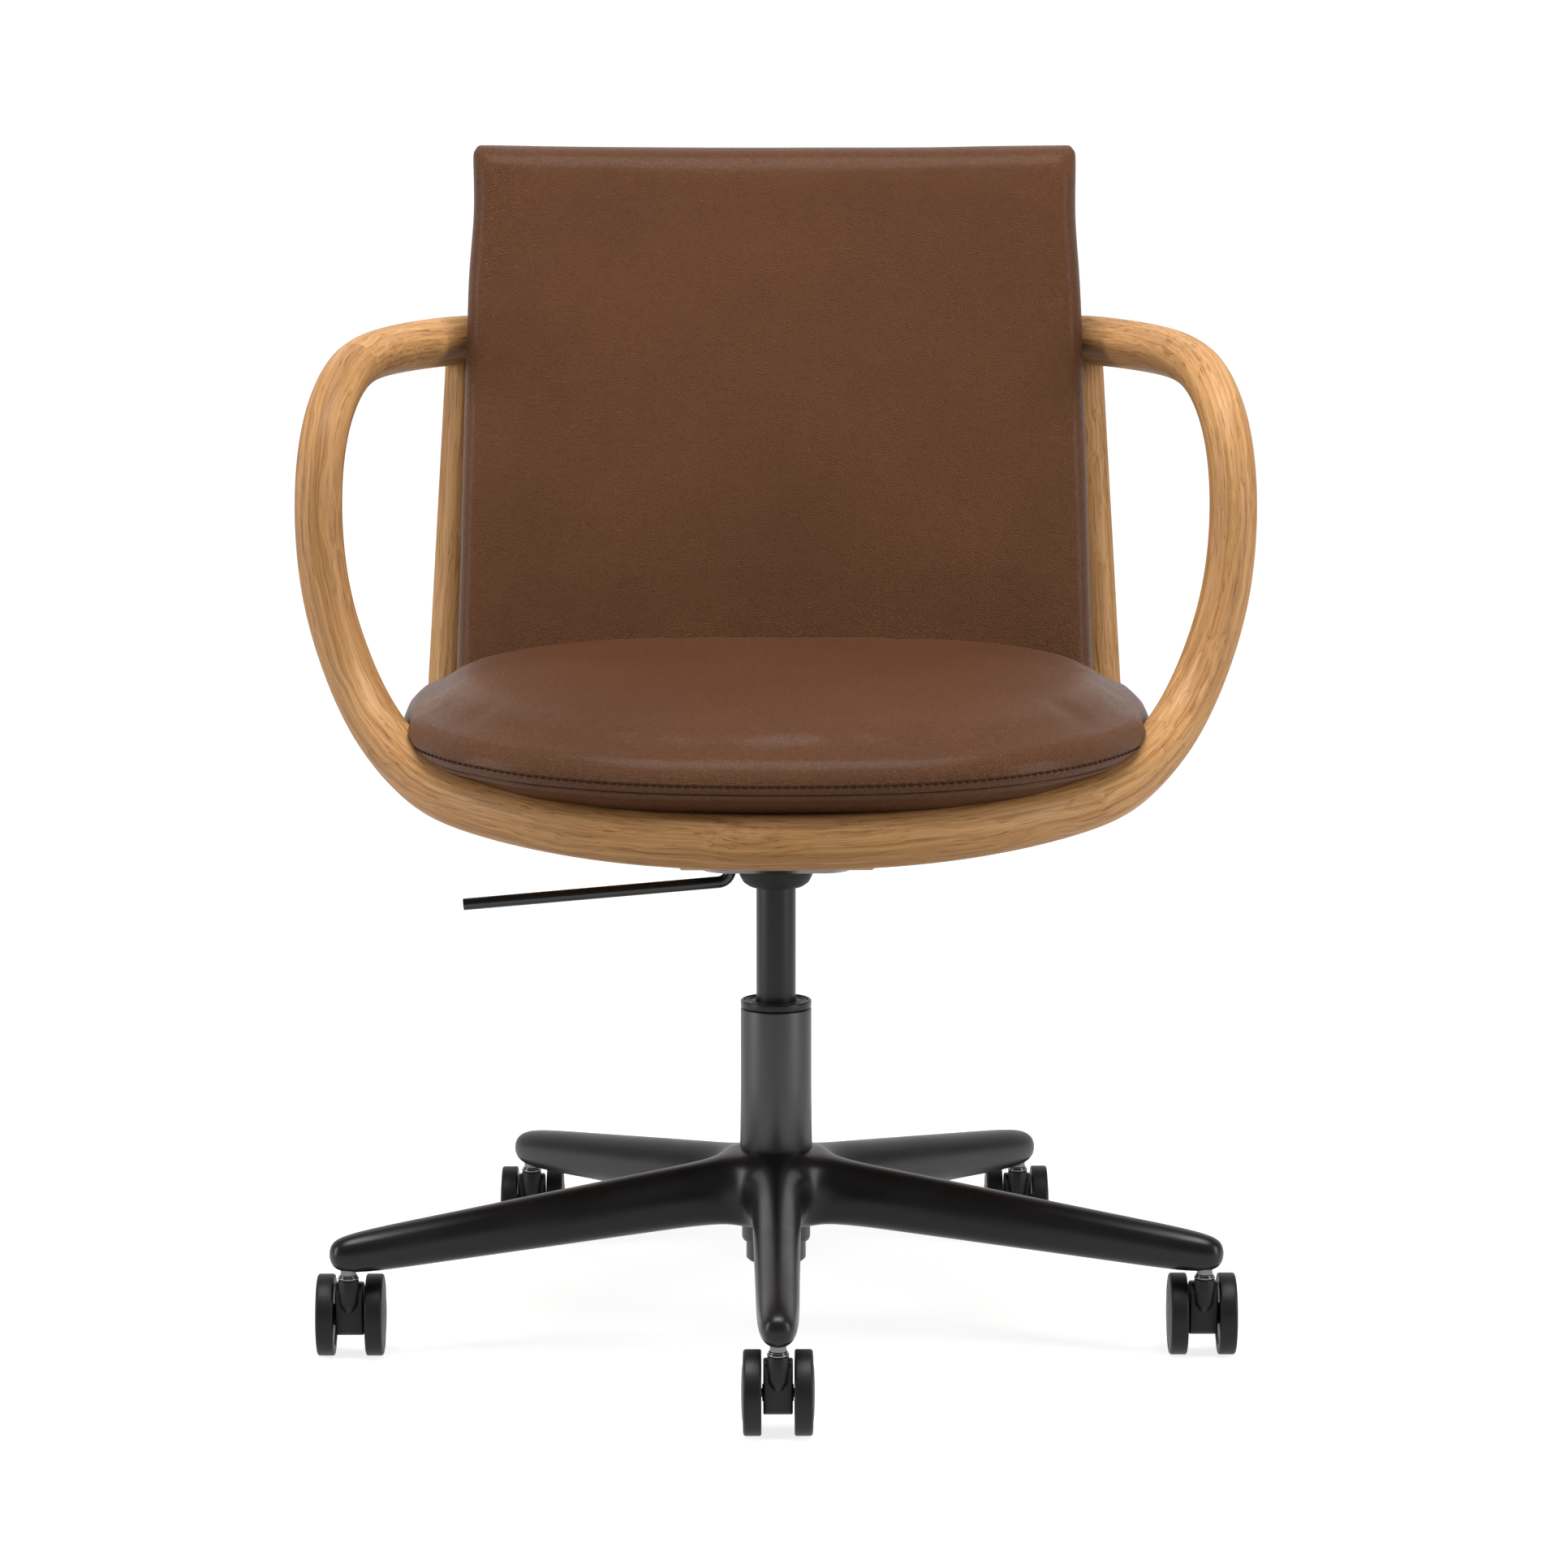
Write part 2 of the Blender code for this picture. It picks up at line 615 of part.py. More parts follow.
def build_column(looks):
    inner = COLUMN_RADIUS - COLUMN_WALL
    floor = stub_bottom() + STUB_FLOOR
    narrow = STUB_RADIUS - STUB_WALL
    throat = LEG_ROOT_BOTTOM - COLUMN_BELOW_HUB + STUB_FLOOR
    outside = [point for point in column_outside() if point[0] > 0]
    inside = [(inner, COLUMN_TOP), (inner, throat + inner - narrow), (narrow, throat), (narrow, floor),
              (ROD_RADIUS + RUNNING_GAP, floor), (ROD_RADIUS + RUNNING_GAP, stub_bottom())]
    turned("column_tube", outside + inside, COLUMN_SIDES, looks["column_paint"])

    cap_low = COLUMN_TOP + GAP
    turned("column_cap", [
        (COLUMN_RADIUS, cap_low), (COLUMN_RADIUS, cap_low + CAP_HEIGHT - EDGE_BREAK),
        (COLUMN_RADIUS - EDGE_BREAK, cap_low + CAP_HEIGHT), (inner, cap_low + CAP_HEIGHT), (inner, cap_low),
    ], COLUMN_SIDES, looks["column_paint"])
    bush_outer = inner - GAP
    bush_low, bush_top = COLUMN_TOP - BUSH_LENGTH, cap_low + CAP_HEIGHT - RUNNING_GAP
    bush_inner = CYLINDER_RADIUS + RUNNING_GAP
    turned("guide_bush", [
        (bush_outer, bush_low), (bush_outer, bush_top - EDGE_BREAK), (bush_outer - EDGE_BREAK, bush_top),
        (bush_inner + EDGE_BREAK, bush_top), (bush_inner, bush_top - EDGE_BREAK), (bush_inner, bush_low),
    ], 24, looks["grey_plastic"])

    bearing_low = floor + GAP
    bearing_top = bearing_low + BEARING_HEIGHT
    turned("thrust_bearing", [
        (BEARING_RADIUS, bearing_low), (BEARING_RADIUS, bearing_top),
        (ROD_RADIUS + RUNNING_GAP, bearing_top), (ROD_RADIUS + RUNNING_GAP, bearing_low),
    ], 20, looks["steel"])

    shoulder_low = bearing_top + GAP
    clip_low = stub_bottom() - GAP - CLIP_HEIGHT
    piston_radius = CYLINDER_RADIUS - CYLINDER_WALL - RUNNING_GAP
    point, shoulder = clip_low - ROD_POINT, ROD_RADIUS + ROD_SHOULDER
    turned("piston_rod", [
        (0, point), (ROD_RADIUS - 0.6 * ROD_POINT, point), (ROD_RADIUS, clip_low),
        (ROD_RADIUS, shoulder_low), (shoulder, shoulder_low), (shoulder, shoulder_low + ROD_SHOULDER),
        (ROD_RADIUS, shoulder_low + 1.3 * ROD_SHOULDER), (ROD_RADIUS, PISTON_Z), (piston_radius, PISTON_Z),
        (piston_radius, PISTON_Z + PISTON_HEIGHT), (0, PISTON_Z + PISTON_HEIGHT),
    ], 20, looks["steel"])
    turned("retaining_clip", [
        (CLIP_RADIUS, clip_low), (CLIP_RADIUS, clip_low + CLIP_HEIGHT),
        (ROD_RADIUS + GAP, clip_low + CLIP_HEIGHT), (ROD_RADIUS + GAP, clip_low),
    ], 16, looks["steel"])

    top = CYLINDER_BOTTOM + CYLINDER_LENGTH
    bore = CYLINDER_RADIUS - CYLINDER_WALL
    neck = BUTTON_RADIUS + RUNNING_GAP
    block = top - CYLINDER_END - 2 * BUTTON_RADIUS / 3
    seal = CYLINDER_BOTTOM + CYLINDER_END
    turned("gas_cylinder", [
        (CYLINDER_RADIUS - EDGE_BREAK, CYLINDER_BOTTOM), (CYLINDER_RADIUS, CYLINDER_BOTTOM + EDGE_BREAK),
        (CYLINDER_RADIUS, PLATE_BOTTOM - BELL_HEIGHT), (CYLINDER_RADIUS - CYLINDER_TAPER, top), (neck, top),
        (neck, block), (bore, block), (bore, seal), (ROD_RADIUS + RUNNING_GAP, seal),
        (ROD_RADIUS + RUNNING_GAP, CYLINDER_BOTTOM),
    ], 24, looks["column_paint"])
    low, high = top - CYLINDER_END, button_top()
    turned("release_button", [
        (0, low), (BUTTON_RADIUS, low), (BUTTON_RADIUS, high - EDGE_BREAK),
        (BUTTON_RADIUS - EDGE_BREAK, high), (0, high),
    ], ROUND_SIDES, looks["steel"])


# Mechanism under the seat

def button_top():
    return CYLINDER_BOTTOM + CYLINDER_LENGTH + BUTTON_HEIGHT


def lever_path():
    """From the handle's tip, up through the plate, to the arm over the release button."""
    low = PLATE_BOTTOM - LEVER_DROP
    arm = button_top() + GAP + LEVER_RADIUS
    tip = Vector((LEVER_X - LEVER_REACH, 0, low - LEVER_REACH * math.tan(LEVER_SLOPE)))
    elbow = Vector((LEVER_X, 0, low))
    shoulder = Vector((LEVER_X, 0, arm))
    end = Vector((BUTTON_RADIUS, 0, arm))
    path = [tuple(tip)]
    path += rounded_corner(elbow, tip, shoulder, LEVER_BEND, 5)
    path += rounded_corner(shoulder, elbow, end, LEVER_BEND, 5)
    path.append(tuple(end))
    return path


def build_mechanism(looks):
    half_x, half_y = PLATE_WIDTH / 2, PLATE_LENGTH / 2
    top = PLATE_BOTTOM + PLATE_THICKNESS
    rings = []
    for inset, z in ((PLATE_BEVEL, PLATE_BOTTOM), (0.0, top - PLATE_LIP), (0.0, top)):
        corner = [(half_x - inset, half_y - inset), (inset - half_x, half_y - inset),
                  (inset - half_x, inset - half_y), (half_x - inset, inset - half_y)]
        radii = [PLATE_CORNER - 0.8 * inset] * 4
        rings.append([(x, y, z) for x, y in rounded_outline(corner, radii, 3)])
    plate = lofted("mechanism_plate", rings, looks["black_paint"])

    root, mouth = top - PLATE_LIP, PLATE_BOTTOM + SOCKET_HEIGHT
    socket = turned("socket_boss", [
        (0, root), (SOCKET_RADIUS, root), (SOCKET_RADIUS, mouth - EDGE_BREAK),
        (SOCKET_RADIUS - EDGE_BREAK, mouth), (0, mouth),
    ], 20)
    add_to(plate, socket)
    lug_middle = LEVER_RADIUS + RUNNING_GAP + LUG_THICKNESS / 2
    for number, side in enumerate((-1, 1)):
        low, high = side * lug_middle - LUG_THICKNESS / 2, side * lug_middle + LUG_THICKNESS / 2
        outline = rounded_outline([
            (LEVER_X - LUG_WIDTH / 2, root), (LEVER_X + LUG_WIDTH / 2, root),
            (LEVER_X + 0.4 * LUG_WIDTH, top + LUG_HEIGHT), (LEVER_X - 0.4 * LUG_WIDTH, top + LUG_HEIGHT),
        ], [0, 0, LUG_WIDTH / 3, LUG_WIDTH / 3], 3)
        add_to(plate, prism(f"pivot_lug_{number}", outline, low, high, axis="Y"))

    taper = turned("taper_bore", [
        (0, PLATE_BOTTOM - CUTTER_REACH), (CYLINDER_RADIUS + GAP, PLATE_BOTTOM - CUTTER_REACH),
        (CYLINDER_RADIUS + GAP, PLATE_BOTTOM),
        (CYLINDER_RADIUS - CYLINDER_TAPER + GAP, CYLINDER_BOTTOM + CYLINDER_LENGTH + GAP),
        (0, CYLINDER_BOTTOM + CYLINDER_LENGTH + GAP + CUTTER_REACH),
    ], 20)
    clear = LEVER_RADIUS + RUNNING_GAP
    left, right = LEVER_X - clear - LEVER_SWING, LEVER_X + clear + RUNNING_GAP
    slot = prism("lever_slot", [(left, -clear), (right, -clear), (right, clear), (left, clear)],
                 PLATE_BOTTOM - CUTTER_REACH, top + PLATE_LIP)
    at_pivot = Matrix.Translation((LEVER_X, 0, top + PIVOT_HEIGHT)) @ Matrix.Rotation(math.pi / 2, 4, "X")
    reach = lug_middle + LUG_THICKNESS / 2
    through = rod_profile(PIVOT_RADIUS + GAP, -2 * reach, 2 * reach)
    hole = turned("pivot_hole", through, ROUND_SIDES, None, at_pivot)
    for cutter in (taper, slot, hole):
        cut(plate, as_cutter(cutter))
    turned("lever_pivot", rod_profile(PIVOT_RADIUS, -reach, reach), ROUND_SIDES, looks["steel"], at_pivot)

    lever = swept_tube("height_lever", lever_path(), LEVER_RADIUS, 10, looks["black_paint"])
    cut(lever, hole)

    flare = BELL_TOP_RADIUS - BELL_BOTTOM_RADIUS
    rim, mouth = PLATE_BOTTOM - GAP, PLATE_BOTTOM - BELL_HEIGHT
    turned("socket_cover", [
        (BELL_BOTTOM_RADIUS, mouth), (BELL_BOTTOM_RADIUS + 0.43 * flare, PLATE_BOTTOM - 0.84 * BELL_HEIGHT),
        (BELL_TOP_RADIUS - 0.31 * flare, PLATE_BOTTOM - 0.5 * BELL_HEIGHT), (BELL_TOP_RADIUS, rim),
        (CYLINDER_RADIUS + GAP, rim), (CYLINDER_RADIUS + GAP, mouth),
    ], 28, looks["black_plastic"])

    screw_cutters = []
    number = 0
    for x in (-SCREW_X, SCREW_X):
        for y in (-SCREW_Y, SCREW_Y):
            number += 1
            place = Matrix.Translation((x, y, 0))
            low, sunk = PLATE_BOTTOM, PLATE_BOTTOM + SCREW_HEAD_HEIGHT
            end = PLATE_BOTTOM + SCREW_LENGTH
            turned(f"plate_screw_{number}", [
                (0, low), (SCREW_HEAD_RADIUS, low), (SCREW_RADIUS, sunk), (SCREW_RADIUS, end), (0, end),
            ], ROUND_SIDES, looks["steel"], place)
            hole = turned(f"plate_screw_hole_{number}", [
                (0, low - SCREW_HEAD_HEIGHT), (SCREW_HEAD_RADIUS + GAP, low - SCREW_HEAD_HEIGHT),
                (SCREW_HEAD_RADIUS + GAP, low), (SCREW_RADIUS + GAP, sunk), (SCREW_RADIUS + GAP, end + GAP),
                (0, end + GAP),
            ], ROUND_SIDES, None, place)
            cut(plate, as_cutter(hole))
            screw_cutters.append((x, hole))
    return screw_cutters


# Oak loop

def spline_through(points, count):
    """Natural cubic spline, evenly spaced along its length, its ends square to the middle plane."""
    points = np.array(points, float)
    steps = np.linalg.norm(np.diff(points, axis=0), axis=1) ** 0.5
    knots = np.concatenate([[0], np.cumsum(steps)])
    size = len(points)
    matrix, target = np.zeros((size, size)), np.zeros((size, 3))
    matrix[0, :2] = (2 * steps[0], steps[0])
    matrix[-1, -2:] = (steps[-1], 2 * steps[-1])
    first = np.array([abs(points[1, 0] - points[0, 0]), 0, 0]) / steps[0]
    last = np.array([-abs(points[-2, 0] - points[-1, 0]), 0, 0]) / steps[-1]
    target[0] = 6 * ((points[1] - points[0]) / steps[0] - first)
    target[-1] = 6 * (last - (points[-1] - points[-2]) / steps[-1])
    for i in range(1, size - 1):
        matrix[i, i - 1:i + 2] = (steps[i - 1], 2 * (steps[i - 1] + steps[i]), steps[i])
        ahead, behind = points[i + 1] - points[i], points[i] - points[i - 1]
        target[i] = 6 * (ahead / steps[i] - behind / steps[i - 1])
    bend = np.linalg.solve(matrix, target)

    def at(knot):
        i = min(int(np.searchsorted(knots, knot, side="right")) - 1, size - 2)
        a, b = knots[i + 1] - knot, knot - knots[i]
        h = steps[i]
        return ((bend[i] * a ** 3 + bend[i + 1] * b ** 3) / (6 * h)
                + (points[i] / h - bend[i] * h / 6) * a + (points[i + 1] / h - bend[i + 1] * h / 6) * b)

    fine = np.array([at(k) for k in np.linspace(0, knots[-1], 1200)])
    along = np.concatenate([[0], np.cumsum(np.linalg.norm(np.diff(fine, axis=0), axis=1))])
    wanted = np.linspace(0, along[-1], count)
    return np.stack([np.interp(wanted, along, fine[:, axis]) for axis in range(3)], axis=1)


def loop_points():
    points = []
    for across, back, up in LOWER_SWEEP:
        points.append((LOOP_HALF_WIDTH * across, FRONT_RAIL_Y + back * (ARM_UPRIGHT_Y - FRONT_RAIL_Y),
                       FRONT_RAIL_Z + up * (ARM_WIDEST_Z - FRONT_RAIL_Z)))
    for across, back, up in UPPER_SWEEP:
        points.append((LOOP_HALF_WIDTH * across, ARM_UPRIGHT_Y + back * (back_rail_y() - ARM_UPRIGHT_Y),
                       ARM_WIDEST_Z + up * (ARMREST_Z - ARM_WIDEST_Z)))
    return points


class Loop:
    """The right half of the loop's centreline with a frame that doesn't twist, at even stations."""

    STATIONS = 241
    STEP = 6  # every ring lies on a multiple of this, so that neighbours share their facets

    def __init__(self):
        self.centre = spline_through(loop_points(), self.STATIONS)
        ways = np.gradient(self.centre, axis=0)
        self.way = ways / np.linalg.norm(ways, axis=1)[:, None]
        self.way[0], self.way[-1] = (1, 0, 0), (-1, 0, 0)
        across = np.array([0.0, 0.0, 1.0])
        self.across = []
        for way in self.way:
            across = across - way * across.dot(way)
            across = across / np.linalg.norm(across)
            self.across.append(across)
        self.across = np.array(self.across)
        self.widest = int(np.argmax(self.centre[:, 0]))
        slim, full = self.eased(*SLIMMING), self.eased(*FILLING)
        self.half = RAIL_HALF + (ARM_HALF - RAIL_HALF) * slim + (BACK_RAIL_HALF - ARM_HALF) * full
        self.depth = LOOP_DEPTH_HALF + (ARM_HALF - LOOP_DEPTH_HALF) * (slim - full)
        self.roundness = RAIL_ROUNDNESS + (ARM_ROUNDNESS - RAIL_ROUNDNESS) * (slim - full)

    def eased(self, start, end):
        """Rises smoothly from 0 to 1 between two shares of the way to the widest point."""
        share = np.clip((np.arange(self.STATIONS) / self.widest - start) / (end - start), 0, 1)
        return share * share * (3 - 2 * share)

    def station_at(self, x=None, y=None, after=0, before=STATIONS):
        """Station between two others where the loop comes closest to an x or a y."""
        column, value = (0, x) if x is not None else (1, y)
        gaps = np.abs(self.centre[after:before, column] - value)
        return after + int(np.argmin(gaps))

    def ring(self, station, side=1, swell=0.0):
        centre, way, across = self.centre[station], self.way[station], self.across[station]
        other = np.cross(way, across)
        half, depth = self.half[station] + swell, self.depth[station] + swell
        flat = superellipse(half, depth, self.roundness[station], LOOP_SIDES, 0.5)
        points = [centre + a * across + b * other for a, b in flat]
        return [Vector((side * p[0], p[1], p[2])) for p in points]

    def frame(self, station, side=1):
        """Matrix whose X runs along the loop and Y across it, at a station."""
        centre, way, across = (Vector(v[station]) for v in (self.centre, self.way, self.across))
        for vector in (centre, way, across):
            vector.x *= side
        third = way.cross(across)
        matrix = Matrix((way, across, third)).transposed().to_4x4()
        matrix.translation = centre
        return matrix

    def between(self, first, last):
        """Ring stations that reach at least from the first to the last."""
        return list(range(self.STEP * (first // self.STEP), self.STEP * -(-last // self.STEP) + 1, self.STEP))


def finger_cutter(name, loop, station, side, keep_far, swell):
    """Crenellated block that takes away one side of a finger joint: far of it, or near it."""
    half, width = FINGER_LENGTH / 2, FINGER_WIDTH
    flip = 1 if keep_far else -1
    far = -flip * JOINT_BLOCK
    edges = [
        (-3 * width, -1), (-width, -1), (-width, 1), (0, 1),
        (0, -1), (width, -1), (width, 1), (3 * width, 1),
    ]
    outline = []
    for across, turn in edges:
        along = turn * half + flip * swell
        outline.append([along, across])
    if swell:
        for i, (across, turn) in enumerate(edges):
            if 0 < i < len(edges) - 1:
                rising = edges[i][0] == edges[i - 1][0]
                neighbour = edges[i - 1][1] if rising else edges[i + 1][1]
                outline[i][1] += flip * swell * (-1 if (turn > neighbour) == rising else 1)
    outline += [[far, 3 * width], [far, -3 * width]]
    place = loop.frame(station, side)
    return as_cutter(prism(name, outline, -JOINT_BLOCK_HALF, JOINT_BLOCK_HALF, None, place))


def build_loop(looks, loop):
    """Six lengths of oak, finger-jointed at the front and back and butted at the arm's corner."""
    pitch = float(np.linalg.norm(loop.centre[1] - loop.centre[0]))
    finger_reach = round(FINGER_LENGTH / 2 / pitch) + 2
    front = loop.station_at(x=FRONT_JOINT_SHARE * LOOP_HALF_WIDTH, before=loop.widest)
    butt_y = ARM_UPRIGHT_Y + ARM_BUTT_SHARE * (back_rail_y() - ARM_UPRIGHT_Y)
    corner = Loop.STEP * round(loop.station_at(y=butt_y, after=loop.widest) / Loop.STEP)
    rear = loop.station_at(x=STILE_TOP_X - STILE_RADIUS - FINGER_LENGTH, after=corner)

    stations = loop.between(0, front + finger_reach)
    rings = [loop.ring(s, -1) for s in reversed(stations)] + [loop.ring(s) for s in stations[1:]]
    rail = lofted("front_rail", rings, looks["oak"])
    stations = loop.between(rear - finger_reach, Loop.STATIONS - 1)
    rings = [loop.ring(s, -1) for s in stations] + [loop.ring(s) for s in reversed(stations[:-1])]
    back = lofted("back_rail", rings, looks["oak"])

    for name, side in (("right", 1), ("left", -1)):
        arm_rings = [loop.ring(s, side) for s in loop.between(front - finger_reach, corner)]
        arm = lofted("arm_" + name, arm_rings, looks["oak"])
        rest_rings = [loop.ring(s, side) for s in loop.between(corner, rear + finger_reach)]
        share = GAP / (pitch * Loop.STEP)
        rest_rings[0] = [p.lerp(q, share) for p, q in zip(rest_rings[0], rest_rings[1])]
        rest = lofted("armrest_" + name, rest_rings, looks["oak"])
        cut(rail, finger_cutter(f"front_joint_far_{name}", loop, front, side, False, 0.0))
        cut(arm, finger_cutter(f"front_joint_near_{name}", loop, front, side, True, GAP))
        cut(rest, finger_cutter(f"rear_joint_far_{name}", loop, rear, side, False, 0.0))
        cut(back, finger_cutter(f"rear_joint_near_{name}", loop, rear, side, True, GAP))


def loop_clearance(loop, name, swell):
    stations = loop.between(0, Loop.STATIONS - 1)
    rings = [loop.ring(s, 1, swell) for s in stations]
    rings += [loop.ring(s, -1, swell) for s in reversed(stations[1:-1])]
    return as_cutter(lofted(name, rings, closed=True))


def rear_rail_z():
    return PAN_TOP - PAN_THICKNESS + REAR_RAIL_RISE


def rear_rail_y():
    """The rail stands behind the foot of the back shell."""
    touching_z = rear_rail_z() + REAR_RAIL_HALF / 2
    return back_surface(0, touching_z, 1) + GAP + SHELL_THICKNESS + GAP + REAR_RAIL_HALF


def stile_axis(loop, side):
    top_station = loop.station_at(x=STILE_TOP_X, after=Loop.STATIONS // 2)
    top = Vector(loop.centre[top_station])
    foot = Vector((STILE_FOOT_X, rear_rail_y(), rear_rail_z() - STILE_FOOT_DROP))
    for point in (top, foot):
        point.x *= side
    return top, foot


def rod_between(name, start, end, radius, sides, material=None, round_foot=0.0):
    way = (end - start).normalized()
    across = way.cross(Vector((0, 1, 0))).normalized()
    other = way.cross(across)
    stations = [(start, radius), (end, radius)]
    if round_foot:
        stations = [(start, radius), (end - way * round_foot, radius),
                    (end - way * 0.3 * round_foot, radius - 0.3 * round_foot), (end, radius - round_foot)]
    rings = []
    for point, size in stations:
        angles = [2 * math.pi * (k + 0.5) / sides for k in range(sides)]
        rings.append([point + size * (math.cos(a) * across + math.sin(a) * other) for a in angles])
    return lofted(name, rings, material)


def build_stiles(looks, loop, clearance):
    """Two leaning stiles under the loop and the rail that ties their feet."""
    half = REAR_RAIL_HALF
    z = rear_rail_z()
    rail_rings = []
    for x in (-STILE_FOOT_X, -REAR_RAIL_MARK, 0.0, REAR_RAIL_MARK, STILE_FOOT_X):
        flat = superellipse(half, half, REAR_RAIL_ROUNDNESS, REAR_RAIL_SIDES, 0.5)
        rail_rings.append([Vector((x, rear_rail_y() + b, z + a)) for a, b in flat])
    rail = lofted("rear_rail", rail_rings, looks["oak"])
    for name, side in (("right", 1), ("left", -1)):
        top, foot = stile_axis(loop, side)
        stile = rod_between("stile_" + name, top, foot, STILE_RADIUS, STILE_SIDES, looks["oak"],
                            STILE_END_ROUND)
        cut(stile, clearance)
        way = (top - foot).normalized()
        past = foot - way * REAR_RAIL_HALF
        sleeve = rod_between("stile_sleeve_" + name, top, past, STILE_RADIUS + GAP, STILE_SIDES)
        cut(rail, as_cutter(sleeve))
    rail_sleeve = []
    for x in (-STILE_FOOT_X, STILE_FOOT_X):
        flat = superellipse(half + GAP, half + GAP, REAR_RAIL_ROUNDNESS, REAR_RAIL_SIDES, 0.5)
        rail_sleeve.append([Vector((x, rear_rail_y() + b, z + a)) for a, b in flat])
    return as_cutter(lofted("rear_rail_sleeve", rail_sleeve))


# Seat

def seat_half_width():
    return LOOP_HALF_WIDTH - SEAT_SIDE_INSET


def plan_ring(half_width, front, rear, z, sides, power=SEAT_ROUNDNESS, drop=0.0):
    """Outline seen from above, rounder in front than behind, its front let down by a drop."""
    middle, half = (front + rear) / 2, (rear - front) / 2
    ring = []
    squarer = superellipse(half_width, half, SEAT_REAR_SQUARENESS, sides)
    for i, (x, y) in enumerate(superellipse(half_width, half, power, sides)):
        if y > 0:
            x, y = squarer[i]
        forward = max(0.0, -y / half)
        ring.append(Vector((x, middle + y, z - drop * forward ** 2)))
    return ring


def build_seat(looks, loop, clearance, rail_sleeve, screw_cutters):
    pan_rings = []
    pan_rear = back_surface(0, PAN_TOP - PAN_THICKNESS, 1) - RUNNING_GAP
    edge = 0.3 * PAN_THICKNESS
    for inset, z in ((edge, PAN_TOP - PAN_THICKNESS), (0.0, PAN_TOP - PAN_THICKNESS + edge), (0.0, PAN_TOP)):
        half = seat_half_width() - PAN_SIDE_INSET - inset
        front, rear = PAN_FRONT_Y + inset, pan_rear - inset
        pan_rings.append(plan_ring(half, front, rear, z, SEAT_SIDES, PAN_ROUNDNESS))
    pan = lofted("seat_pan", pan_rings, looks["plywood"])
    cut(pan, clearance)

    low, high = PLATE_BOTTOM + PLATE_THICKNESS + GAP, PAN_TOP - PAN_THICKNESS - GAP
    at_rail = loop.station_at(x=BEARER_INNER_X + BEARER_WIDTH, before=loop.widest)
    nose_y = float(loop.centre[at_rail][1])
    outline = [
        (BEARER_FLAT_FRONT_Y, low), (rear_rail_y(), low), (rear_rail_y(), high),
        (nose_y, high), (nose_y, high - BEARER_NOSE_HEIGHT),
    ]
    for name, side in (("right", 1), ("left", -1)):
        edges = sorted((side * BEARER_INNER_X, side * (BEARER_INNER_X + BEARER_WIDTH)))
        bearer = prism("seat_bearer_" + name, outline, edges[0], edges[1], looks["oak"], axis="X")
        cut(bearer, clearance)
        cut(bearer, rail_sleeve)
        for x, hole in screw_cutters:
            if x * side > 0:
                cut(bearer, hole)

    width, front = seat_half_width(), SEAT_FRONT_Y
    rear = back_surface(0, SEAM_Z, -1) - 2 * RUNNING_GAP
    bottom = PAN_TOP + GAP
    belly = SEAM_Z - bottom
    levels = [
        (2.1 * SEAT_PULL_IN, bottom, 0.0), (SEAT_PULL_IN, bottom + 0.1 * belly, 0.1),
        (0.60 * SEAT_PULL_IN, bottom + 0.35 * belly, 0.5),
        (0.20 * SEAT_PULL_IN, bottom + 0.7 * belly, 0.85), (0.0, SEAM_Z, 1.0),
    ]
    for reach, rise, share in CROWN_LEVELS:
        levels.append((CROWN_REACH * reach, SEAM_Z + CROWN_HEIGHT * rise, share))
    rings = []
    for inset, z, share in levels:
        rings.append(plan_ring(width - inset, front + 0.9 * inset, rear - 0.4 * inset, z, SEAT_SIDES,
                               drop=SEAM_FRONT_DROP * share))
    cushion = lofted("seat_cushion", rings, looks["leather"])
    cut(cushion, clearance)
    return cushion


# Back

def back_middle(x, z):
    """Depth of the back cushion's middle surface."""
    lean = BACK_SEAT_Y + BACK_THICKNESS / 2 + (z - BACK_SEAT_Z) * math.tan(BACK_RECLINE)
    hollow = BACK_HOLLOW * (x / BACK_BOTTOM_HALF_WIDTH) ** 2
    lumbar = LUMBAR_DEPTH * math.exp(-((z - LUMBAR_Z) / LUMBAR_SPAN) ** 2)
    return lean - hollow - lumbar


def back_surface(x, z, side):
    """Depth of the back cushion's front (side -1) or rear (side 1)."""
    return back_middle(x, z) + side * BACK_THICKNESS / 2


def back_rail_y():
    """Axis of the back rail, which bears on the back shell."""
    z = ARM_WIDEST_Z + UPPER_SWEEP[-1][2] * (ARMREST_Z - ARM_WIDEST_Z)
    return back_surface(0, z, 1) + GAP + SHELL_THICKNESS + GAP + LOOP_DEPTH_HALF


def back_half_width(z):
    """Half width of the back at a height: a taper whose sides draw in a little, with rounded corners."""
    share = (z - BACK_BOTTOM_Z) / (BACK_TOP_Z - BACK_BOTTOM_Z)
    half = BACK_BOTTOM_HALF_WIDTH + share * (BACK_TOP_HALF_WIDTH - BACK_BOTTOM_HALF_WIDTH)
    below_draw = (z - BACK_TOP_Z + BACK_SIDE_DRAW_Z) / BACK_SIDE_DRAW_SPAN
    half -= BACK_SIDE_DRAW * math.exp(-below_draw ** 2)
    for edge in (BACK_BOTTOM_Z, BACK_TOP_Z):
        into = BACK_CORNER - abs(z - edge)
        if into > 0:
            half -= BACK_CORNER - math.sqrt(max(0.0, BACK_CORNER ** 2 - into ** 2))
    return half


def back_grid(count):
    """Shares across the back, close together at its rounded edges."""
    ends = [0.0, 0.018, 0.055, 0.12]
    inner = [0.12 + 0.76 * i / (count - 1) for i in range(1, count - 1)]
    return ends + inner + [1 - v for v in reversed(ends)]


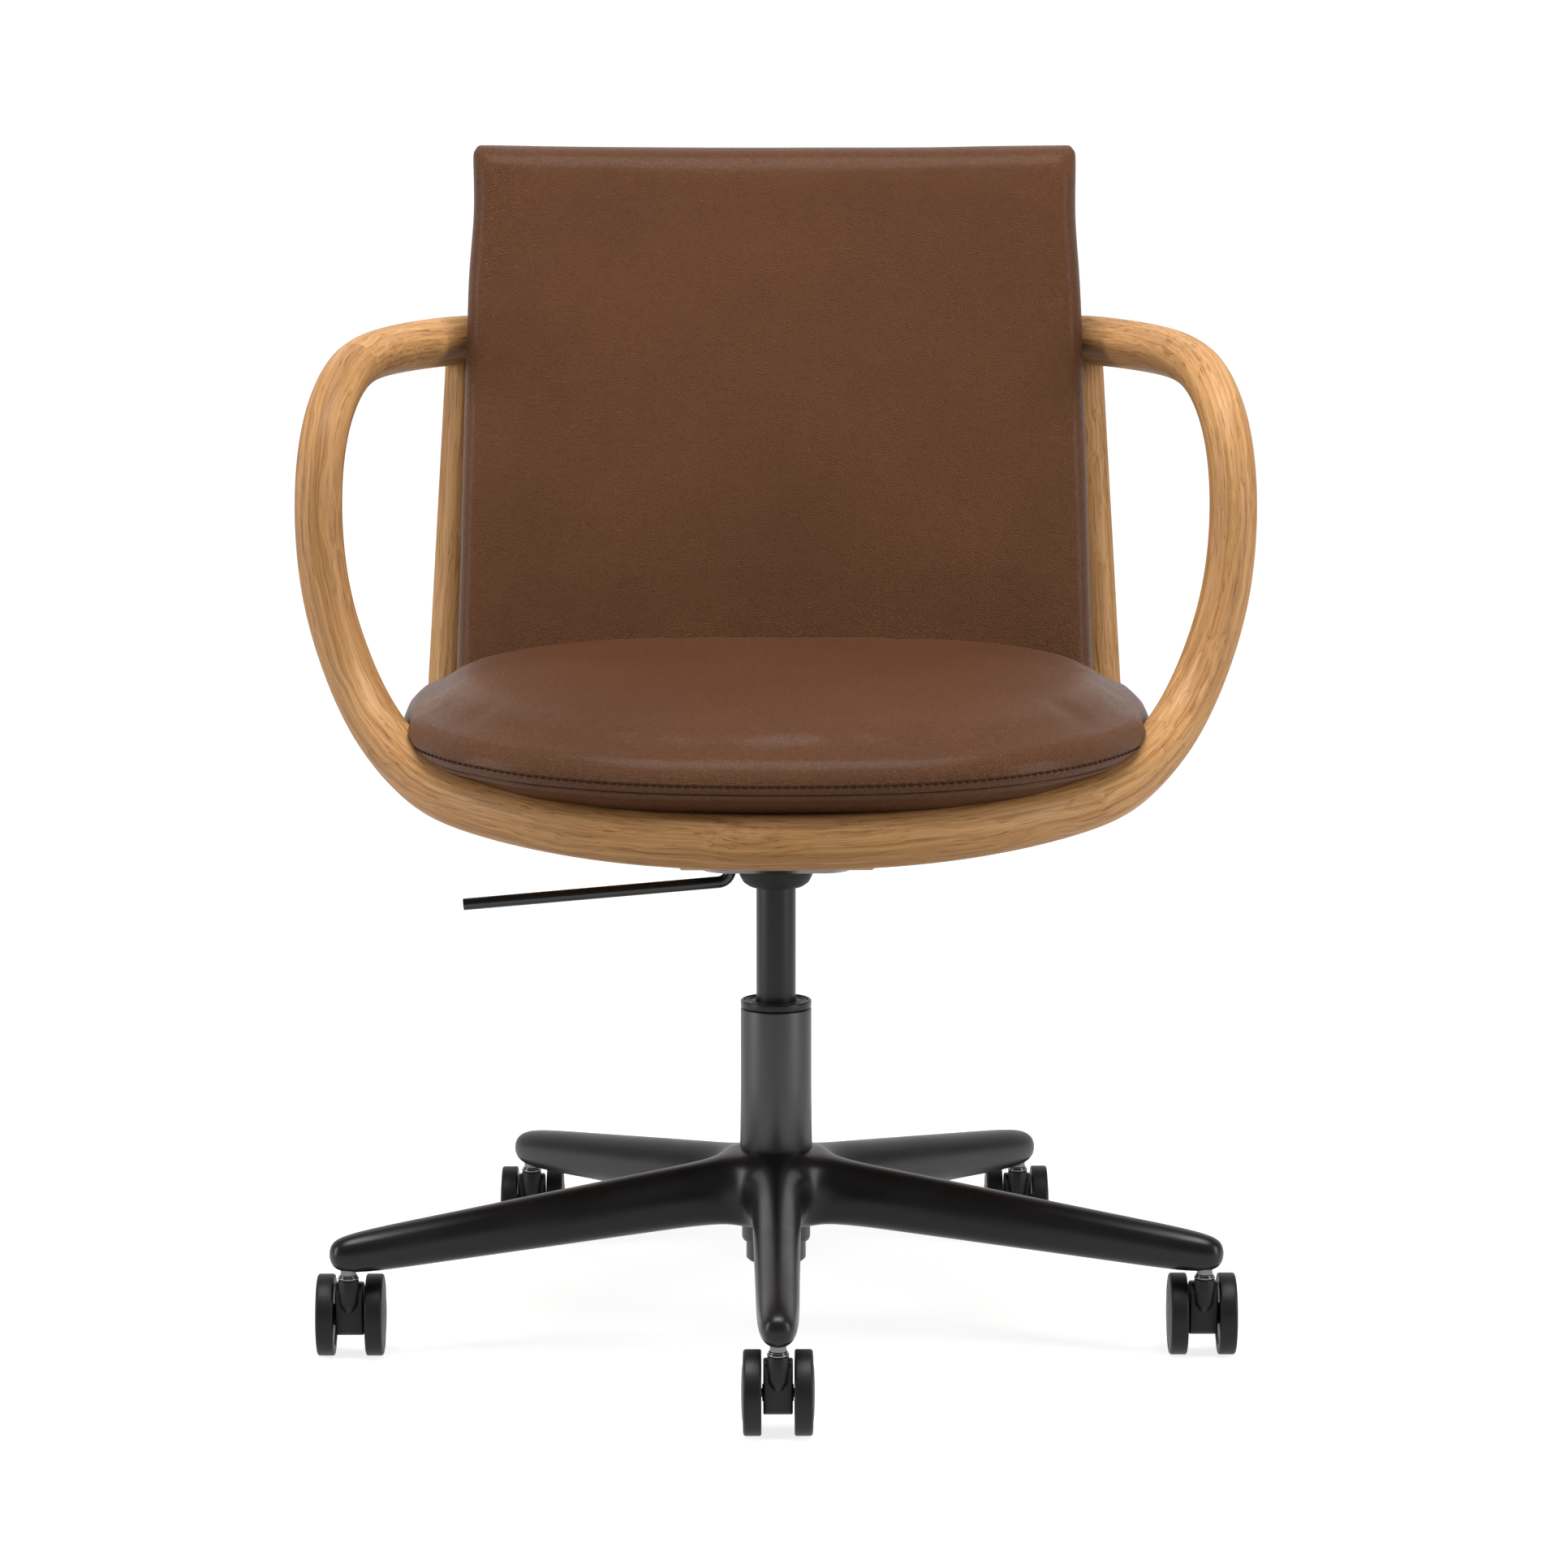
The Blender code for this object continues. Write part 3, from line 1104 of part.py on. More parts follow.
def back_place(u, v):
    """Across and up, from the shares; the top edge dips between its corners."""
    z = BACK_BOTTOM_Z + (BACK_TOP_Z - BACK_BOTTOM_Z) * v
    x = back_half_width(z) * (2 * u - 1)
    return x, z - BACK_TOP_DIP * v ** 4 * (1 - (2 * u - 1) ** 2)


def build_back_cushion(looks):
    """Two curved skins that meet at a rounded rim."""
    bm = bmesh.new()
    shares = back_grid(BACK_GRID)
    last = len(shares) - 1

    def rise(distance):
        into = min(1.0, max(0.0, distance / BACK_EDGE_ROUND))
        return math.sqrt(1 - (1 - into) ** 2)

    rim = {}
    for side in (-1, 1):
        grid = []
        for j, v in enumerate(shares):
            row = []
            for i, u in enumerate(shares):
                at_rim = i in (0, last) or j in (0, last)
                if at_rim and (i, j) in rim:
                    row.append(rim[i, j])
                    continue
                x, z = back_place(u, v)
                full = rise(2 * BACK_TOP_HALF_WIDTH * min(u, 1 - u))
                full *= rise((BACK_TOP_Z - BACK_BOTTOM_Z) * min(v, 1 - v))
                vertex = bm.verts.new((x, back_middle(x, z) + side * full * BACK_THICKNESS / 2, z))
                if at_rim:
                    rim[i, j] = vertex
                row.append(vertex)
            grid.append(row)
        for low, high in zip(grid, grid[1:]):
            for i in range(last):
                bm.faces.new((low[i], low[i + 1], high[i + 1], high[i]))
    return add_object("back_cushion", bm, looks["leather"])


def build_back_shell(looks):
    """Moulded plywood on the cushion's rear, its foot reaching down to the rear rail."""
    shares = back_grid(BACK_GRID)[2:-2]
    rows = [[back_place(u, v) for u in shares] for v in shares]
    foot = PAN_TOP - PAN_THICKNESS + GAP
    rows.insert(0, [(SHELL_FOOT_WIDTH * x, foot) for x, _ in rows[0]])
    rings = []
    for row in rows:
        near = [Vector((x, back_surface(x, z, 1) + GAP, z)) for x, z in row]
        far = [point + Vector((0, SHELL_THICKNESS, 0)) for point in near]
        rings.append(near + far[::-1])
    return lofted("back_shell", rings, looks["leather"], thin=True)


def build_back(looks, loop, clearance):
    build_back_cushion(looks)
    shell = cut(build_back_shell(looks), clearance)

    for number, x in (("left", -BACK_SCREW_X), ("right", BACK_SCREW_X)):
        station = loop.station_at(x=abs(x), after=3 * Loop.STATIONS // 4)
        y, z = loop.centre[station][1], loop.centre[station][2]
        place = Matrix.Translation((x, y, z)) @ Matrix.Rotation(-math.pi / 2, 4, "X")
        rear = LOOP_DEPTH_HALF + GAP
        reach = y - (back_surface(x, z, 1) + GAP + 0.4 * SHELL_THICKNESS)
        turned("back_screw_" + number, [
            (0, -reach), (SCREW_RADIUS, -reach), (SCREW_RADIUS, rear), (BACK_SCREW_HEAD_RADIUS, rear),
            (0.8 * BACK_SCREW_HEAD_RADIUS, rear + SCREW_HEAD_HEIGHT), (0, rear + SCREW_HEAD_HEIGHT),
        ], ROUND_SIDES, looks["steel"], place)
        hole = as_cutter(turned("back_screw_hole_" + number, [
            (0, -reach - GAP), (SCREW_RADIUS + GAP, -reach - GAP), (SCREW_RADIUS + GAP, rear - GAP),
            (BACK_SCREW_HEAD_RADIUS + GAP, rear - GAP), (BACK_SCREW_HEAD_RADIUS + GAP, rear + CUTTER_REACH),
            (0, rear + CUTTER_REACH),
        ], ROUND_SIDES, None, place))
        cut(shell, hole)
        cut(bpy.data.objects["back_rail"], hole)


def build_chair():
    clear_scene()
    looks = make_finishes()
    build_base(looks)
    for number, (x, y) in enumerate(leg_directions(), start=1):
        build_caster(number, CASTER_CIRCLE * x, CASTER_CIRCLE * y, looks)
    build_column(looks)
    screw_cutters = build_mechanism(looks)
    loop = Loop()
    build_loop(looks, loop)
    clearance = loop_clearance(loop, "loop_clearance", GAP)
    rail_sleeve = build_stiles(looks, loop, clearance)
    build_seat(looks, loop, clearance, rail_sleeve, screw_cutters)
    build_back(looks, loop, clearance)


build_chair()
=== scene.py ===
import math

import bmesh
import bpy
import numpy as np
from mathutils import Matrix, Vector, noise as field


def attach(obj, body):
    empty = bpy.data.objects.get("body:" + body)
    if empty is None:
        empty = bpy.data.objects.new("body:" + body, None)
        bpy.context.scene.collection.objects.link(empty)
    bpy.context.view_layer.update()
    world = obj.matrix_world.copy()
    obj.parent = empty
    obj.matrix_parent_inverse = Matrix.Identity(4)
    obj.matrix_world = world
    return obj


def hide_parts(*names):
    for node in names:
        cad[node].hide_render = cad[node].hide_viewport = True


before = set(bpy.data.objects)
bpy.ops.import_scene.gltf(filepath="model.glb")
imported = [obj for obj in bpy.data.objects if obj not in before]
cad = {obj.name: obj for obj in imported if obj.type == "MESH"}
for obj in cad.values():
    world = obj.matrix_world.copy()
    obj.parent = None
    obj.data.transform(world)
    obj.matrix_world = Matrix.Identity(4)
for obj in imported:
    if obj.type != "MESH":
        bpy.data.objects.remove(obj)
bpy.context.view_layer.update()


# Studio. A white floor runs up into a white backdrop, lit by two large soft boxes from the front corners and
# one overhead. The camera stands a little under four metres away with a long lens, just above arm height.

FLOOR_SIZE = 16
SWEEP_HEIGHT = 6
SWEEP_RADIUS = 2.5
PAPER_GREY = 0.42
PAPER_GLOW = 0.82  # added for the camera and for mirrored or refracted rays
AIR_LIGHT = 0.18
CAMERA_PLACE = (-0.0164, -3.8986, 0.9709)
CAMERA_TILT = 0.14733  # below level
CAMERA_PAN = -0.00565
LENS = 128.5


def take(piece=None):
    """Selects one piece alone, or nothing."""
    bpy.ops.object.select_all(action="DESELECT")
    if piece is not None:
        bpy.context.view_layer.objects.active = piece
        piece.select_set(True)


def named(name):
    piece = bpy.context.object
    piece.name = name
    piece.data.name = name
    return piece


def settle(piece):
    """Puts the piece's place into its mesh."""
    take(piece)
    bpy.ops.object.transform_apply(location=True, rotation=True, scale=True)


def edit_with(piece):
    """Opens a piece for editing with nothing picked in it."""
    take(piece)
    bpy.ops.object.mode_set(mode="EDIT")
    bpy.ops.mesh.select_all(action="DESELECT")
    return bmesh.from_edit_mesh(piece.data)


def pick(piece, kind, test):
    """While editing, selects only the edges or faces that pass a test."""
    bpy.ops.mesh.select_all(action="DESELECT")
    for element in getattr(bmesh.from_edit_mesh(piece.data), kind):
        if test(element):
            element.select_set(True)
    bmesh.update_edit_mesh(piece.data)


def extrude(x, y, z):
    bpy.ops.mesh.extrude_region_move(TRANSFORM_OT_translate={"value": (x, y, z)})


def feed(tree, source, target):
    """Gives a socket a link, or a plain value."""
    if isinstance(source, bpy.types.NodeSocket):
        tree.links.new(source, target)
    else:
        target.default_value = source


def node(tree, kind, inputs=(), **settings):
    """Adds a node with its settings and, by name or number, its inputs."""
    made = tree.nodes.new(kind)
    for key, value in settings.items():
        setattr(made, key, value)
    for key, value in dict(inputs).items():
        feed(tree, value, made.inputs[key])
    return made


def calc(tree, operation, *values, kind="ShaderNodeMath"):
    return node(tree, kind, enumerate(values), operation=operation).outputs[0]


def new_material(name):
    material = bpy.data.materials.new(name)
    material.use_nodes = True
    return material, material.node_tree, material.node_tree.nodes["Principled BSDF"]


take()
bpy.ops.mesh.primitive_plane_add(size=FLOOR_SIZE, location=(0, -3.0, 0))
backdrop = named("studio_floor")
edit_with(backdrop)
pick(backdrop, "edges", lambda edge: all(v.co.y > 0.49 * FLOOR_SIZE for v in edge.verts))
extrude(0, 0, SWEEP_HEIGHT)
pick(backdrop, "edges", lambda edge: all(v.co.y > 0.49 * FLOOR_SIZE and v.co.z < 0.1 for v in edge.verts))
bpy.ops.mesh.bevel(offset=SWEEP_RADIUS, segments=24)
bpy.ops.object.mode_set(mode="OBJECT")
settle(backdrop)
bpy.ops.object.shade_smooth()

paper, tree, shader = new_material("studio_paper")
shader.inputs["Base Color"].default_value = (PAPER_GREY, PAPER_GREY, PAPER_GREY, 1)
shader.inputs["Roughness"].default_value = 0.9
shader.inputs["Specular IOR Level"].default_value = 0.1
shader.inputs["Emission Color"].default_value = (1, 1, 1, 1)
rays = node(tree, "ShaderNodeLightPath").outputs
seen = calc(tree, "MAXIMUM", rays["Is Camera Ray"], rays["Is Glossy Ray"])
seen = calc(tree, "MAXIMUM", seen, rays["Is Transmission Ray"])
feed(tree, calc(tree, "MULTIPLY", seen, PAPER_GLOW), shader.inputs["Emission Strength"])
backdrop.data.materials.append(paper)

world = bpy.data.worlds.new("studio_air")
bpy.context.scene.world = world
world.use_nodes = True
air = world.node_tree.nodes["Background"]
air.inputs["Color"].default_value = (1, 1, 1, 1)
air.inputs["Strength"].default_value = AIR_LIGHT

for name, place, aim, width, height, power in (
        ("soft_box_left", (-2.8, -0.7, 1.0), (0, 0, 0.6), 1.0, 1.8, 54),
        ("soft_box_right", (2.5, -1.2, 1.1), (0, 0, 0.6), 1.0, 1.9, 54),
        ("soft_box_above", (0, -0.5, 3.0), (0, 0, 0.4), 2.0, 1.6, 126)):
    take()
    bpy.ops.object.light_add(type="AREA", location=place)
    lamp = bpy.context.object
    lamp.name = name
    lamp.data.shape = "RECTANGLE"
    lamp.data.size = width
    lamp.data.size_y = height
    lamp.data.energy = power
    lamp.rotation_euler = (Vector(aim) - Vector(place)).to_track_quat("-Z", "Y").to_euler()

take()
bpy.ops.object.camera_add(location=CAMERA_PLACE, rotation=(math.pi / 2 - CAMERA_TILT, 0, CAMERA_PAN))
camera = bpy.context.object
camera.name = "photographer"
camera.data.sensor_width = 36
camera.data.lens = LENS
bpy.context.scene.camera = camera
bpy.context.scene.view_settings.view_transform = "Standard"


# Five-leg base. One aluminium casting: a hub whose five wide sides run out as round legs that taper to a ball
# over each caster, joined by smooth webs, with a bore through the hub for the column. Satin black powder coat.

def close_mesh(joined=None, capped=False):
    """Ends an edit: joins points closer than a distance, caps what is open, and turns the faces outward."""
    bpy.ops.mesh.select_all(action="SELECT")
    if joined:
        bpy.ops.mesh.remove_doubles(threshold=joined)
    if capped:
        bpy.ops.mesh.fill_holes(sides=0)
        bpy.ops.mesh.select_all(action="SELECT")
    bpy.ops.mesh.normals_make_consistent(inside=False)
    bpy.ops.object.mode_set(mode="OBJECT")


def apply_modifiers(piece):
    take(piece)
    for modifier in list(piece.modifiers):
        bpy.ops.object.modifier_apply(modifier=modifier.name)


def smooth(piece, degrees=40):
    take(piece)
    bpy.ops.object.shade_smooth_by_angle(angle=math.radians(degrees))


def subdivided(piece, levels):
    finer = piece.modifiers.new("finer", "SUBSURF")
    finer.levels = levels
    finer.render_levels = levels


def carve(piece, cutter, operation="DIFFERENCE"):
    """Applies a Boolean with a cutter, and removes the cutter."""
    carving = piece.modifiers.new("carve", "BOOLEAN")
    carving.operation = operation
    carving.object = cutter
    apply_modifiers(piece)
    bpy.data.objects.remove(cutter, do_unlink=True)


def turned(name, outline, sides=96, place=None):
    """Turns an outline of (radius, height) points about the Z axis."""
    take()
    bpy.ops.mesh.primitive_plane_add(size=0.01, location=(0, 0, 0))
    piece = named(name)
    bpy.ops.object.mode_set(mode="EDIT")
    bpy.ops.mesh.merge(type="CENTER")
    bpy.ops.transform.translate(value=(outline[0][0], 0, outline[0][1]))
    for before, after in zip(outline, outline[1:]):
        extrude(after[0] - before[0], 0, after[1] - before[1])
    bpy.ops.mesh.select_all(action="SELECT")
    bpy.ops.mesh.spin(steps=sides, angle=2 * math.pi, center=(0, 0, 0), axis=(0, 0, 1))
    close_mesh(2e-6)
    if place is not None:
        piece.matrix_world = place
        settle(piece)
    smooth(piece)
    return piece


def plug(name, radius, low, high, sides, place=None):
    """A plain cylinder between two heights."""
    return turned(name, [(0, low), (radius, low), (radius, high), (0, high)], sides, place)


def bend(corner, before, after, radius, steps=10):
    """The arc that rounds a corner between two neighbours."""
    corner, before, after = Vector(corner), Vector(before), Vector(after)
    back, ahead = (before - corner).normalized(), (after - corner).normalized()
    half = back.angle(ahead) / 2
    centre = corner + (back + ahead).normalized() * radius / math.sin(half)
    start = (corner + back * radius / math.tan(half) - centre).normalized()
    end = (corner + ahead * radius / math.tan(half) - centre).normalized()
    return [centre + radius * start.slerp(end, i / steps) for i in range(steps + 1)]


def eased(outline, radii, steps=5):
    """Rounds the corners of an open outline of (radius, height) points."""
    points = []
    for i, (point, radius) in enumerate(zip(outline, radii)):
        if not radius or i in (0, len(outline) - 1):
            points.append(point)
        else:
            corner, before, after = [(*outline[k], 0) for k in (i, i - 1, i + 1)]
            points += [(at.x, at.y) for at in bend(corner, before, after, radius, steps)]
    return points


LEGS = [(math.sin(i * math.tau / 5), -math.cos(i * math.tau / 5)) for i in range(5)]
CASTER_CIRCLE = 0.3132
HUB_TOP = 0.1318
LEG_ROOT = (0.0455, 0.0800, 0.0462, 0.0350)  # distance out, underside, height, width
LEG_TIP = (CASTER_CIRCLE, 0.0620, 0.0290, 0.0278)
SWELL = 1 / 0.9167  # a square section rounded by subdivision lies this much inside its cage
COLUMN_FOOT = 0.0256
MOUTH_MARGIN = 1.03  # of the hub's mouth over the bore
STEM_HOLE = 0.0058


def leg_section(share):
    out, low, height, width = [a + share * (b - a) for a, b in zip(LEG_ROOT, LEG_TIP)]
    middle, half = low + height / 2, SWELL * height / 2
    return out, middle - half, middle + half, SWELL * width / 2


def build_star():
    out, low, high, half = leg_section(0.0)
    take()
    bpy.ops.mesh.primitive_cylinder_add(vertices=10, radius=out, depth=high - low, end_fill_type="NOTHING",
                                        location=(0, 0, (low + high) / 2))
    star = named("base_casting")
    settle(star)
    leg_angle = math.asin(half / out)
    shape = edit_with(star)
    rings = {True: [], False: []}
    for v in shape.verts:
        rings[v.co.z > (low + high) / 2].append(v)
    for ring in rings.values():
        ring.sort(key=lambda v: math.atan2(v.co.y, v.co.x))
    order = []
    for x, y in LEGS:
        heading = math.atan2(y, x)
        order += [heading - leg_angle, heading + leg_angle]
    order.sort(key=lambda a: math.atan2(math.sin(a), math.cos(a)))
    for ring in rings.values():
        for v, angle in zip(ring, order):
            v.co.x, v.co.y = out * math.cos(angle), out * math.sin(angle)
    bmesh.update_edit_mesh(star.data)

    # the hub's mouth above and rim below
    for level, target in ((high, HUB_TOP), (low, LEG_ROOT[1])):
        pick(star, "edges", lambda edge: edge.is_boundary and all(
            abs(v.co.z - level) < 1e-5 for v in edge.verts))
        extrude(0, 0, target - level)
        shrink = (COLUMN_FOOT + 0.0016) * MOUTH_MARGIN / out
        bpy.ops.transform.resize(value=(shrink, shrink, 1), center_override=(0, 0, target))
        bpy.ops.mesh.edge_face_add()
        shape = bmesh.from_edit_mesh(star.data)
        crease = shape.edges.layers.float.get("crease_edge") or shape.edges.layers.float.new("crease_edge")
        for edge in shape.edges:
            if edge.select:
                edge[crease] = 1.0
        bmesh.update_edit_mesh(star.data)

    # each leg is pulled out of one wide side of the hub
    for x, y in LEGS:
        way, across = Vector((x, y, 0)), Vector((-y, x, 0))
        bpy.ops.mesh.select_all(action="DESELECT")
        shape = bmesh.from_edit_mesh(star.data)
        shape.faces.ensure_lookup_table()
        side = [f for f in shape.faces if abs(f.normal.z) < 0.05 and f.normal.dot(way) > 0.99]
        side[0].select_set(True)
        shape.select_flush(True)
        bmesh.update_edit_mesh(star.data)
        for share in (0.16, 0.5, 0.80, 1.0, None):
            if share is None:  # the ball's far cap
                out, low, high, half = leg_section(1.0)
                middle, ball = (low + high) / 2, (high - low) / 2 / SWELL
                out += 0.98 * ball
                low, high, half = middle - 0.62 * ball, middle + 0.62 * ball, 0.31 * LEG_TIP[3]
            else:
                out, low, high, half = leg_section(share)
            extrude(*(0.01 * way))
            shape = bmesh.from_edit_mesh(star.data)
            corners = [v for v in shape.verts if v.select]
            middle_z = sum(v.co.z for v in corners) / 4
            for v in corners:
                place = out * way + math.copysign(half, v.co.dot(across)) * across
                v.co = (place.x, place.y, high if v.co.z > middle_z else low)
            bmesh.update_edit_mesh(star.data)
    close_mesh()
    subdivided(star, 4)
    apply_modifiers(star)
    carve(star, turned("hub_bore", [(0, 0.03), (0.0240, 0.03), (COLUMN_FOOT, HUB_TOP - 0.004),
                                    (COLUMN_FOOT + 0.0002, HUB_TOP + 0.02), (0, HUB_TOP + 0.02)]))
    for x, y in LEGS:
        at_stem = Matrix.Translation((CASTER_CIRCLE * x, CASTER_CIRCLE * y, 0))
        carve(star, plug("stem_hole", STEM_HOLE, 0.03, 0.084, 32, at_stem))
    smooth(star, 50)
    return star


def new_group(name, sockets_in, sockets_out):
    group = bpy.data.node_groups.new(name, "ShaderNodeTree")
    for socket, kind, value in sockets_in:
        made = group.interface.new_socket(name=socket, in_out="INPUT", socket_type=kind)
        if value is not None:
            made.default_value = value
    for socket, kind in sockets_out:
        group.interface.new_socket(name=socket, in_out="OUTPUT", socket_type=kind)
    return group, group.nodes.new("NodeGroupInput"), group.nodes.new("NodeGroupOutput")


def ramp(tree, source, stops):
    """A colour ramp through (position, colour) stops."""
    made = node(tree, "ShaderNodeValToRGB", {"Fac": source})
    elements = made.color_ramp.elements
    while len(elements) < len(stops):
        elements.new(0.5)
    for element, (position, colour) in zip(elements, stops):
        element.position = position
        element.color = (*colour, 1)
    return made.outputs["Color"]


def noise(tree, vector, scale, detail=2.0, roughness=0.5):
    return node(tree, "ShaderNodeTexNoise", {
        "Vector": vector, "Scale": scale, "Detail": detail, "Roughness": roughness}).outputs["Fac"]


def mixed(tree, kind, factor, first, second):
    inputs = {"Factor": factor, "A": first, "B": second}
    return node(tree, "ShaderNodeMix", inputs, data_type="RGBA", blend_type=kind).outputs["Result"]


def spread(tree, value, low, high, start=0.3, end=0.7, **settings):
    """Maps a value's range to another."""
    inputs = {"Value": value, "From Min": start, "From Max": end, "To Min": low, "To Max": high}
    return node(tree, "ShaderNodeMapRange", inputs, **settings).outputs["Result"]


def skin_group(name, *sockets_in):
    """A node group that gives a colour, a roughness and a height."""
    return new_group(name, sockets_in, [
        ("Color", "NodeSocketColor"), ("Roughness", "NodeSocketFloat"), ("Height", "NodeSocketFloat")])


def give(group, outside, colour, roughness, height):
    for name, source in (("Color", colour), ("Roughness", roughness), ("Height", height)):
        feed(group, source, outside.inputs[name])
    return group


def dress(tree, shader, skin, relief, colour=None):
    """Lays a skin's colour, gloss and relief on the shader."""
    raised = node(tree, "ShaderNodeBump", {"Distance": relief, "Height": skin.outputs["Height"]})
    feed(tree, colour or skin.outputs["Color"], shader.inputs["Base Color"])
    feed(tree, skin.outputs["Roughness"], shader.inputs["Roughness"])
    feed(tree, raised.outputs["Normal"], shader.inputs["Normal"])


def build_coating_group():
    """Sprayed or moulded skin: a fine bump under cloudy colour and gloss."""
    group, inside, outside = skin_group(
        "sprayed_skin", ("Vector", "NodeSocketVector", None), ("Grain", "NodeSocketFloat", 1500.0),
        ("Dark", "NodeSocketColor", (0.01, 0.01, 0.01, 1)), ("Light", "NodeSocketColor", (0.02, 0.02, 0.02, 1)),
        ("Gloss Low", "NodeSocketFloat", 0.3), ("Gloss High", "NodeSocketFloat", 0.4))
    given = inside.outputs
    fine = noise(group, given["Vector"], given["Grain"])
    cloud = noise(group, given["Vector"], 18.0, 4.0, 0.6)
    return give(group, outside, mixed(group, "MIX", cloud, given["Dark"], given["Light"]),
                spread(group, cloud, given["Gloss Low"], given["Gloss High"]), fine)


sprayed_skin = build_coating_group()


def coated(name, dark, light, gloss, grain=1500.0, bump=0.00002, metallic=0.0, specular=0.5):
    """A painted, plastic or metal finish on the sprayed skin."""
    material, tree, shader = new_material(name)
    skin = node(tree, "ShaderNodeGroup", node_tree=sprayed_skin)
    given = {"Vector": node(tree, "ShaderNodeTexCoord").outputs["Object"], "Grain": grain, "Dark": (*dark, 1),
             "Light": (*light, 1), "Gloss Low": gloss[0], "Gloss High": gloss[1]}
    for key, value in given.items():
        feed(tree, value, skin.inputs[key])
    dress(tree, shader, skin, bump)
    shader.inputs["Metallic"].default_value = metallic
    shader.inputs["Specular IOR Level"].default_value = specular
    return material


def finish_piece(piece, body, material, slot, *nodes):
    piece.data.materials.clear()
    piece.data.materials.append(material)
    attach(piece, body)
    if nodes:
        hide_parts(*nodes)
    return piece


satin_black = coated("satin_black_powder_coat", (0.004, 0.004, 0.0045), (0.009, 0.009, 0.010), (0.30, 0.38),
                     grain=1300.0, bump=0.000012, specular=0.25)
star = build_star()
finish_piece(star, "base", satin_black, "black_paint", "base_star")


# Casters. Each is a glass-filled nylon block hung on a chromed stem, with a tongue down its front where the stem
# sits, and a solid wheel on either side of it, on one short axle. The tread's corners are rounded.

AXLE_HEIGHT = 0.02864
TRAIL = 0.0200
BLOCK_HALF = 0.0098
BLOCK_TOP = 0.0586
WHEEL_INNER = 0.0110
WHEEL_OUTER = 0.0228
SIDEWAYS = Matrix.Rotation(math.pi / 2, 4, "Y")

nylon_black = coated("black_nylon", (0.0030, 0.0030, 0.0032), (0.0065, 0.0065, 0.0070), (0.36, 0.46),
                     grain=2600.0, bump=0.00002, specular=0.22)
tread_black = coated("black_tread", (0.0035, 0.0035, 0.0037), (0.0075, 0.0075, 0.0080), (0.42, 0.52),
                     grain=1800.0, bump=0.00003, specular=0.22)
bright_chrome = coated("bright_chrome", (0.11, 0.11, 0.112), (0.16, 0.16, 0.163), (0.08, 0.14), grain=300.0,
                       bump=0.000001, metallic=1.0)
plain_steel = coated("plain_steel", (0.24, 0.24, 0.25), (0.34, 0.34, 0.35), (0.28, 0.40), grain=900.0,
                     bump=0.00001, metallic=1.0)


def build_wheel(name, turn):
    """Wheel with a flat inner face, a hollowed rim line and a domed outer face."""
    outline = eased([
        (0.0, WHEEL_OUTER - 0.0010), (0.0033, WHEEL_OUTER - 0.0010), (0.0033, WHEEL_INNER),
        (0.0075, WHEEL_INNER), (0.0080, WHEEL_INNER + 0.0012), (0.0215, WHEEL_INNER + 0.0012),
        (0.0225, WHEEL_INNER), (AXLE_HEIGHT, WHEEL_INNER), (AXLE_HEIGHT, WHEEL_OUTER + 0.0002),
        (0.0238, WHEEL_OUTER + 0.0006), (0.0232, WHEEL_OUTER + 0.0001), (0.0222, WHEEL_OUTER + 0.0003),
        (0.0150, WHEEL_OUTER + 0.0013), (0.0060, WHEEL_OUTER + 0.0016), (0.0, WHEEL_OUTER + 0.0016),
    ], [0, 0, 0, 0.0004, 0.0004, 0.0004, 0.0004, 0.0013, 0.0018, 0.0006, 0.0003, 0.0003, 0, 0, 0], 4)
    return turned(name, outline, 80, Matrix.Translation((0, TRAIL, AXLE_HEIGHT)) @ Matrix.Rotation(
        turn * math.pi / 2, 4, "Y"))


def slab(name, outline, low, high, place=None):
    """A flat outline in X and Y, pulled up along Z between two levels."""
    take()
    bpy.ops.mesh.primitive_circle_add(vertices=len(outline), radius=0.01, fill_type="NGON", location=(0, 0, 0))
    piece = named(name)
    for v, (x, y) in zip(piece.data.vertices, outline):
        v.co = (x, y, low)
    edit_with(piece)
    bpy.ops.mesh.select_all(action="SELECT")
    extrude(0, 0, high - low)
    close_mesh()
    if place is not None:
        piece.matrix_world = place
        settle(piece)
    return piece


def bevelled(piece, width, degrees):
    """Rounds every edge sharper than an angle."""
    rounding = piece.modifiers.new("rounding", "BEVEL")
    rounding.width = width
    rounding.segments = 3
    rounding.limit_method = "ANGLE"
    rounding.angle_limit = math.radians(degrees)
    apply_modifiers(piece)


STANDING = Matrix(((0, 0, 1, 0), (1, 0, 0, 0), (0, 1, 0, 0), (0, 0, 0, 1)))  # lays X and Y into Y and Z
ON_AXLE = Matrix.Translation((0, TRAIL, AXLE_HEIGHT))


